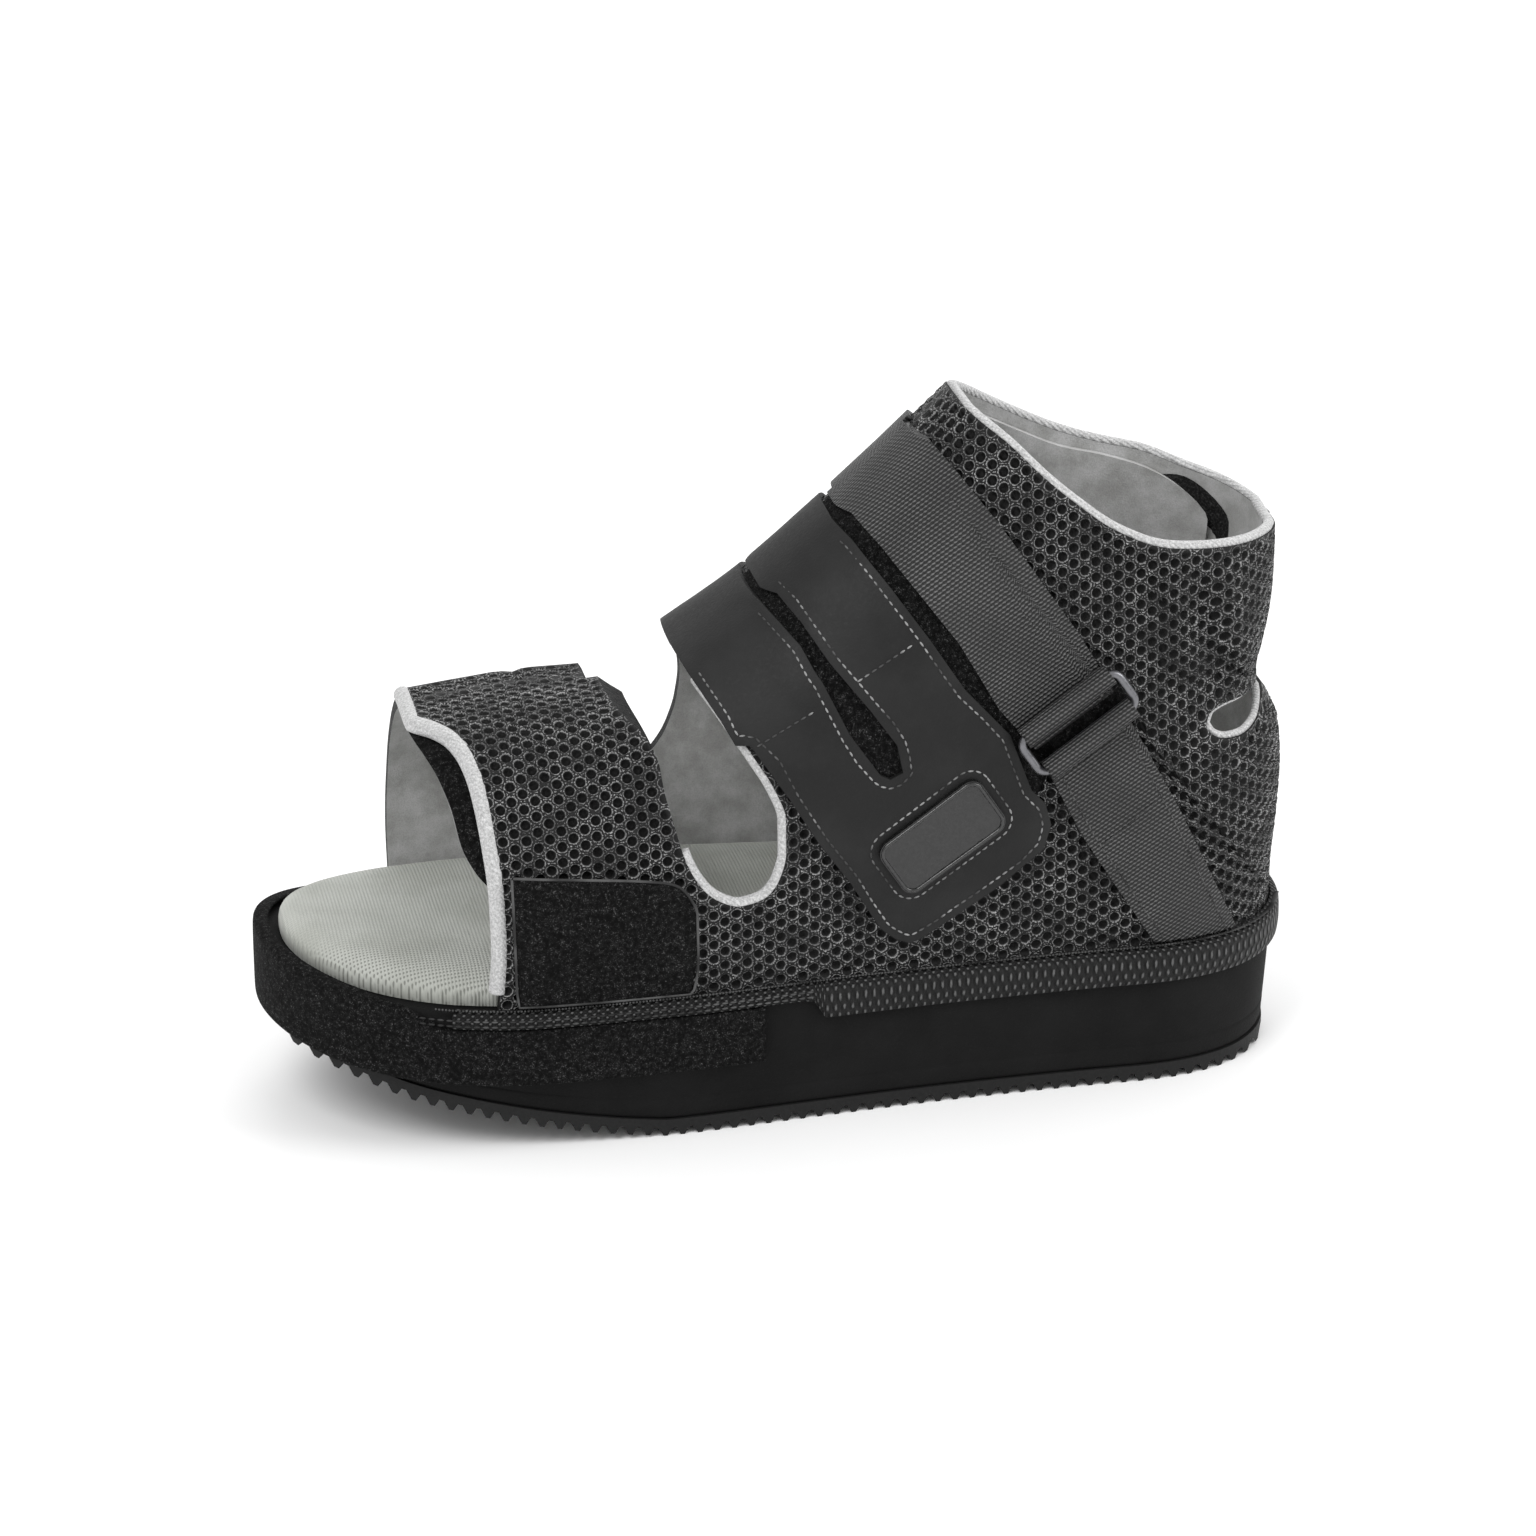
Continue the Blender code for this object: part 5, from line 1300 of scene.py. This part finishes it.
def fold_sleeve(name, sign, mat):
    """Webbing turned round a bar of the ring."""
    place, long, down, out = ring_frame()
    axis = bar_at(sign)
    points, faces, uvs = [], [], []
    steps, rows = 28, 24
    for k in range(steps):
        a = 2 * math.pi * k / steps
        for i in range(rows + 1):
            for r in (FOLD + WEBBING_THICK, FOLD + 0.1 * MM):
                beside = r * (math.cos(a) * out + math.sin(a) * down)
                points.append(tuple(axis + long * WEBBING * (i / rows - 0.5) + beside))
    at = lambda k, i, s: ((k % steps) * (rows + 1) + i) * 2 + s
    for k in range(steps):
        for i in range(rows):
            for s in (0, 1):
                faces.append((at(k, i, s), at(k + 1, i, s), at(k + 1, i + 1, s), at(k, i + 1, s)))
        for i in (0, rows):
            faces.append((at(k, i, 0), at(k + 1, i, 0), at(k + 1, i, 1), at(k, i, 1)))
    obj = new_object(name, mesh_from(name, points, faces), mat)
    layer = obj.data.uv_layers.new(name="cloth")
    for poly in obj.data.polygons:
        for li in poly.loop_indices:
            p = np.array(obj.data.vertices[obj.data.loops[li].vertex_index].co) - axis
            a = math.atan2(p @ down, p @ out)
            across = np.array([math.cos(RING_LEAN), math.sin(RING_LEAN)]) * float(p @ long) * 1000
            around = np.array([math.sin(RING_LEAN), -math.cos(RING_LEAN)]) * a * (FOLD + WEBBING_THICK) * 1000
            layer.data[li].uv = across + around
    return piece(obj, "webbing")


# Stitches
def stitch_tree():
    """Geometry Nodes: one capsule on each point, turned along the point's aim."""
    tree = bpy.data.node_groups.new("stitches", "GeometryNodeTree")
    sockets = (("Geometry", "OUTPUT", "Geometry"), ("Geometry", "INPUT", "Geometry"),
               ("Length", "INPUT", "Float"),
               ("Radius", "INPUT", "Float"), ("Thread", "INPUT", "Material"))
    for name, way, kind in sockets:
        tree.interface.new_socket(name, in_out=way, socket_type="NodeSocket" + kind)
    given = add_node(tree, "NodeGroupInput").node.outputs
    half = add_node(tree, "Math.MULTIPLY", given["Length"], 0.5)
    size = add_node(tree, "CombineXYZ", half, given["Radius"], given["Radius"])
    ball = add_node(tree, "GeometryNodeMeshUVSphere", Segments=8, Rings=6, Radius=1.0)
    capsule = add_node(tree, "GeometryNodeTransform", Geometry=ball, Scale=size)
    aim = add_node(tree, "GeometryNodeInputNamedAttribute", data_type="FLOAT_VECTOR", Name="aim")
    turn = add_node(tree, "FunctionNodeAlignRotationToVector", axis="X", Vector=aim)
    row = add_node(tree, "GeometryNodeInstanceOnPoints", Points=given["Geometry"], Instance=capsule,
                   Rotation=turn)
    real = add_node(tree, "GeometryNodeRealizeInstances", row)
    add_node(tree, "NodeGroupOutput", add_node(tree, "GeometryNodeSetMaterial", real,
                                               Material=given["Thread"]))
    return tree


def beads(name, centres, aims, sizes, slot):
    """Stitches on centres, turned along aims; sizes are the tree's named inputs."""
    mesh = bpy.data.meshes.new(name)
    mesh.from_pydata([tuple(c) for c in centres], [], [])
    aim = mesh.attributes.new("aim", "FLOAT_VECTOR", "POINT")
    aim.data.foreach_set("vector", np.array(aims, float).ravel())
    obj = new_object(name, mesh)
    tree = bpy.data.node_groups.get("stitches") or stitch_tree()
    rows = obj.modifiers.new("stitches", "NODES")
    rows.node_group = tree
    for socket in tree.interface.items_tree:
        if socket.name in sizes:
            rows[socket.identifier] = sizes[socket.name]
    obj = settle(obj)
    obj.data.shade_smooth()
    return piece(obj, slot)


def spread(path, pitch):
    """Centres and directions at even spacing along a path."""
    path = np.array(path, float)
    run = np.concatenate([[0], np.cumsum(np.linalg.norm(np.diff(path, axis=0), axis=1))])
    if run[-1] < pitch:
        return [], []
    at = np.arange(pitch / 2, run[-1], pitch)
    centres = np.stack([np.interp(at, run, path[:, c]) for c in range(3)], -1)
    ahead = np.stack([np.interp(at + 0.2 * pitch, run, path[:, c]) for c in range(3)], -1)
    back = np.stack([np.interp(at - 0.2 * pitch, run, path[:, c]) for c in range(3)], -1)
    return list(centres), list(ahead - back)


def sew(name, paths, pitch, long, radius, mat, slot, slant=0.0):
    centres, aims = [], []
    for path in paths:
        c, a = spread(path, pitch)
        centres += c
        aims += a
    centres, aims = np.array(centres), np.array(aims)
    if slant:
        up = np.array([0, 0, 1.0])
        rise = slant * np.linalg.norm(aims, axis=1)[:, None] * up
        aims = np.cross(aims, up) * np.array([1, 1, 0]) + rise
    return beads(name, creased(centres), aims, {"Length": long, "Radius": radius, "Thread": mat}, slot)


def on_side(rows, gap, rise, each=3):
    """Runs of points on the near side beside rows of shares, left off where they pass the top line."""
    runs, now = [], []
    for x, y, z in edge_path(rows, -1, gap, -rise, each):
        if y < -0.5 * MM:
            now.append((x, y, z))
        elif now:
            runs.append(now)
            now = []
    return [r for r in runs + [now] if len(r) > 2]


def straight(a, b, n=12):
    return [(a[0] + (b[0] - a[0]) * k / n, a[1] + (b[1] - a[1]) * k / n) for k in range(n + 1)]


def sew_closures(yarn, dark):
    top = CLEAR + LEATHER_THICK + 0.05 * MM
    loop = PATCH + PATCH[:1]
    lines = on_side(loop, 2.5 * MM, top, 2)
    for a, b in (((0.4567, 0.5676), (0.5140, 0.6132)), ((0.5522, 0.6486), (0.6094, 0.6995))):
        lines += on_side(straight(a, b), 0.0, top, 1)
    frame_rows = rounded(BADGE_AT, BADGE_LONG + 4.4 * MM, BADGE_WIDE + 4.4 * MM, BADGE_ROUND + 2 * MM,
                         BADGE_LEAN, 8)
    lines += on_side(frame_rows + frame_rows[:1], 0.0, top, 1)
    sew("patch_stitches", lines, 2.35 * MM, 1.75 * MM, 0.28 * MM, yarn, "synthetic_leather")
    rise = CLEAR + WEBBING_THICK + 0.05 * MM
    seams = on_side(straight((0.7385, 0.4833), (0.8013, 0.5400)), 0.0, rise,
                    1) + on_side(straight((0.7843, 0.3767), (0.8401, 0.4419)), 0.0, rise, 1)
    seams += on_side([(0.7303, 0.511), (0.7712, 0.392), (0.8069, 0.307), (0.8432, 0.2225)], 2.9 * MM, rise)
    seams += on_side([(0.9300, 0.2225), (0.8971, 0.321), (0.8637, 0.425), (0.8331, 0.511), (0.8054, 0.5864)],
                     2.9 * MM, rise)
    sew("anchor_stitches", seams, 2.1 * MM, 1.6 * MM, 0.26 * MM, dark, "webbing")


def sew_sole(yarn, dark):
    def edge(inset, up, lo, hi, side):
        x = np.linspace(along(lo), along(hi), 160)
        return [(a, side * float(half_width(a, inset)), float(feather_z(a)) + up) for a in x]
    rows = [edge(-0.15 * MM, up, 0.135, 0.505, side) for side in (-1, 1) for up in (-1.1 * MM, -2.7 * MM)]
    sew("tape_stitches", rows, 2.5 * MM, 1.9 * MM, 0.3 * MM, yarn, "woven_tape")
    rows = [edge(1.1 * MM, 1.5 * MM, 0.15, 0.99, side) for side in (-1, 1)]
    sew("overlock_stitches", rows, 0.95 * MM, 2.2 * MM, 0.3 * MM, dark, "woven_tape", slant=0.5)


def badge_rim(mat):
    rows = rounded(BADGE_AT, BADGE_LONG - 1.6 * MM, BADGE_WIDE - 1.6 * MM, BADGE_ROUND - 0.8 * MM,
                   BADGE_LEAN, 8)
    rise = 2 * CLEAR + LEATHER_THICK + BADGE_THICK
    path = [(along(a), -float(foot_half(along(a), b * HEIGHT, -rise)), b * HEIGHT) for a, b in rows]
    piece(tube_line("badge_rim", path, 0.55 * MM, mat, closed=True), "badge_rubber")


# Camera, floor and light
CAMERA_TURN, CAMERA_UP = math.radians(-11), math.radians(22)
CAMERA_FAR = 1.5
CAMERA_VIEW = math.radians(16.61)
CAMERA_AIM = Vector((-0.0011982, 0.0, 0.0892296))
# Soft lights: name, place, size in metres and power in watts
LIGHTS = [("key", (-0.9, -0.9, 1.6), 0.9, 16), ("right", (1.5, -0.6, 1.1), 0.9, 14),
          ("back", (0.3, 1.4, 1.5), 1.2, 10)]


def stage_scene():
    """Camera at the photograph's angle, white floor and three soft lights."""
    cam = bpy.data.objects.new("camera", bpy.data.cameras.new("camera"))
    bpy.context.scene.collection.objects.link(cam)
    flat = math.cos(CAMERA_UP)
    away = Vector((math.sin(CAMERA_TURN) * flat, -math.cos(CAMERA_TURN) * flat, math.sin(CAMERA_UP)))
    cam.location = CAMERA_AIM + CAMERA_FAR * away
    cam.rotation_euler = (CAMERA_AIM - cam.location).to_track_quat("-Z", "Y").to_euler()
    cam.data.sensor_fit = "HORIZONTAL"
    cam.data.angle = CAMERA_VIEW
    bpy.context.scene.camera = cam
    floor = bpy.data.meshes.new("floor")
    floor.from_pydata([(-4, -4, 0), (4, -4, 0), (4, 4, 0), (-4, 4, 0)], [], [(0, 1, 2, 3)])
    n = Nodes("white floor", 0.9)
    ground = new_object("floor", floor, n.finish(n.add("Mix", n.add("TexNoise", Vector=n.place(),
            Scale=0.01), i6=linear("f6f6f6"), i7=linear("fbfbfb"), out=2, data_type="RGBA")))
    world = bpy.data.worlds.new("studio")
    world.use_nodes = True
    world.node_tree.nodes["Background"].inputs[0].default_value = (1, 1, 1, 1)
    world.node_tree.nodes["Background"].inputs[1].default_value = 0.85
    bpy.context.scene.world = world
    for name, spot, size, power in LIGHTS:
        light = bpy.data.objects.new(name, bpy.data.lights.new(name, "AREA"))
        light.data.size, light.data.energy = size, power
        light.location = spot
        light.rotation_euler = (Vector((0, 0, 0.1)) - light.location).to_track_quat("-Z", "Y").to_euler()
        bpy.context.scene.collection.objects.link(light)
    bpy.context.scene.view_settings.view_transform = "Standard"


def dress_sole(loops):
    fine_welt(tape())
    fine_band(loops)
    fine_midsole(foam())
    fine_insole(knit())


def lay_closures(loops, hide):
    """Pile pad, leather closure, bare badge, and the pile that shows between them."""
    pad = fine_cover("loop_patch", CLEAR, PAD_THICK, PAD, loops, 0.0, edge=0.5 * MM)
    piece(pad, "loop_pile", "loop_pad")
    patch = fine_cover("leather_patch", CLEAR, LEATHER_THICK, PATCH, hide, 0.25 * BALL_WIDTH, edge=0.45 * MM)
    piece(patch, "synthetic_leather", "patch")
    rows = rounded(BADGE_AT, BADGE_LONG, BADGE_WIDE, BADGE_ROUND, BADGE_LEAN, 10)
    glossy = rubber("glossy black rubber", 0.22, "0a0a0a", 0.6)
    badge = fine_cover("badge_plate", 2 * CLEAR + LEATHER_THICK, BADGE_THICK, rows, glossy, 0.0,
                       edge=0.6 * MM)
    piece(badge, "badge_rubber", "badge")
    piece(fine_cover("pile_under", SKIN_GAP, SKIN, PILE_UNDER, loops, 6 * MM), "loop_pile")
    window = rounded(RING_AT, 31 * MM, 15 * MM, 2 * MM, RING_LEAN)
    piece(fine_cover("pile_window", SKIN_GAP, SKIN, window, loops, 0.0), "loop_pile")


def lay_flap(loops):
    """The far forefoot flap where it shows under the near one, and the sewn edge of the pile pad."""
    strip = smooth_line(LAP_LINE, 4) + LAP_BACK
    piece(fine_cover("under_flap", -(WALL + 2.6 * MM), 2.4 * MM, strip, loops, 0.0, edge=0.4 * MM),
          "loop_pile")
    edge = [q for q in edge_path(LAP_LINE, -1, 0.35 * MM, WALL + 0.9 * MM, 5) if q[1] < -0.5 * MM]
    piece(tube_line("under_flap_edge", edge, 0.45 * MM, thread("8a8a8a", "bdbdbd")), "grey_binding")
    for k, run in enumerate(on_side(PAD + PAD[:1], 0.35 * MM, CLEAR + PAD_THICK - 0.1 * MM, 4)):
        piece(tube_line(f"pad_edge_{k}", run, 0.38 * MM, thread("303030", "5a5a5a")), "loop_pile")


def lay_crescent():
    obj = fine_shell("collar_crescent", WALL + SKIN_GAP, SKIN)
    obj.data.materials.append(knit_edge())
    rows = smooth_line(CRESCENT + CRESCENT[:1], 4)[:-1]
    cut(obj, side_prism("outline_crescent", rows, 1 * MM, BALL_WIDTH), keep=True)
    piece(settle(obj, 40), "spacer_mesh")


def lay_straps(band):
    fine_strap(band)
    anchor = fine_cover("anchor_webbing", CLEAR, WEBBING_THICK, ANCHOR, band, 0.0, edge=0.3 * MM)
    piece(anchor, "webbing", "anchor_strap")
    fold_sleeve("strap_fold", -1, band)
    fold_sleeve("anchor_fold", 1, band)


def lay_inner_flap(inside):
    obj = fine_shell("inner_flap_cloth", WALL + CLEAR, 2.4 * MM)
    obj.data.materials.append(inside)
    cut(obj, side_prism("outline_inner_flap", smooth_line(INNER_FLAP, 4), 1 * MM, BALL_WIDTH), keep=True)
    piece(add_uv(settle(obj, 40)), "grey_lining", "inner_flap")


def main():
    stage_scene()
    cloth, inside, light = spacer_mesh(), lining(), binding()
    loops, hide, band = pile(), leather(), webbing("black polyester webbing", RING_LEAN)
    metal, black = dark_metal(), rubber()
    upper_skin(cloth, inside, knit_edge())
    bind_edges(light)
    dress_sole(loops)
    lay_closures(loops, hide)
    lay_flap(loops)
    lay_crescent()
    lay_straps(band)
    smooth_ring(metal)
    lay_inner_flap(inside)
    yarn, dark = thread("444444", "9c9c9c"), thread("2c2c2c", "5a5a5a")
    sew_closures(yarn, dark)
    sew_sole(dark, thread("303030", "606060"))
    badge_rim(rubber("glossy rubber rim", 0.22, "141414", 0.7))
    for slot in frame["nodes"]["outsole"].material_slots:
        slot.material = black
    clear_cutters()


main()
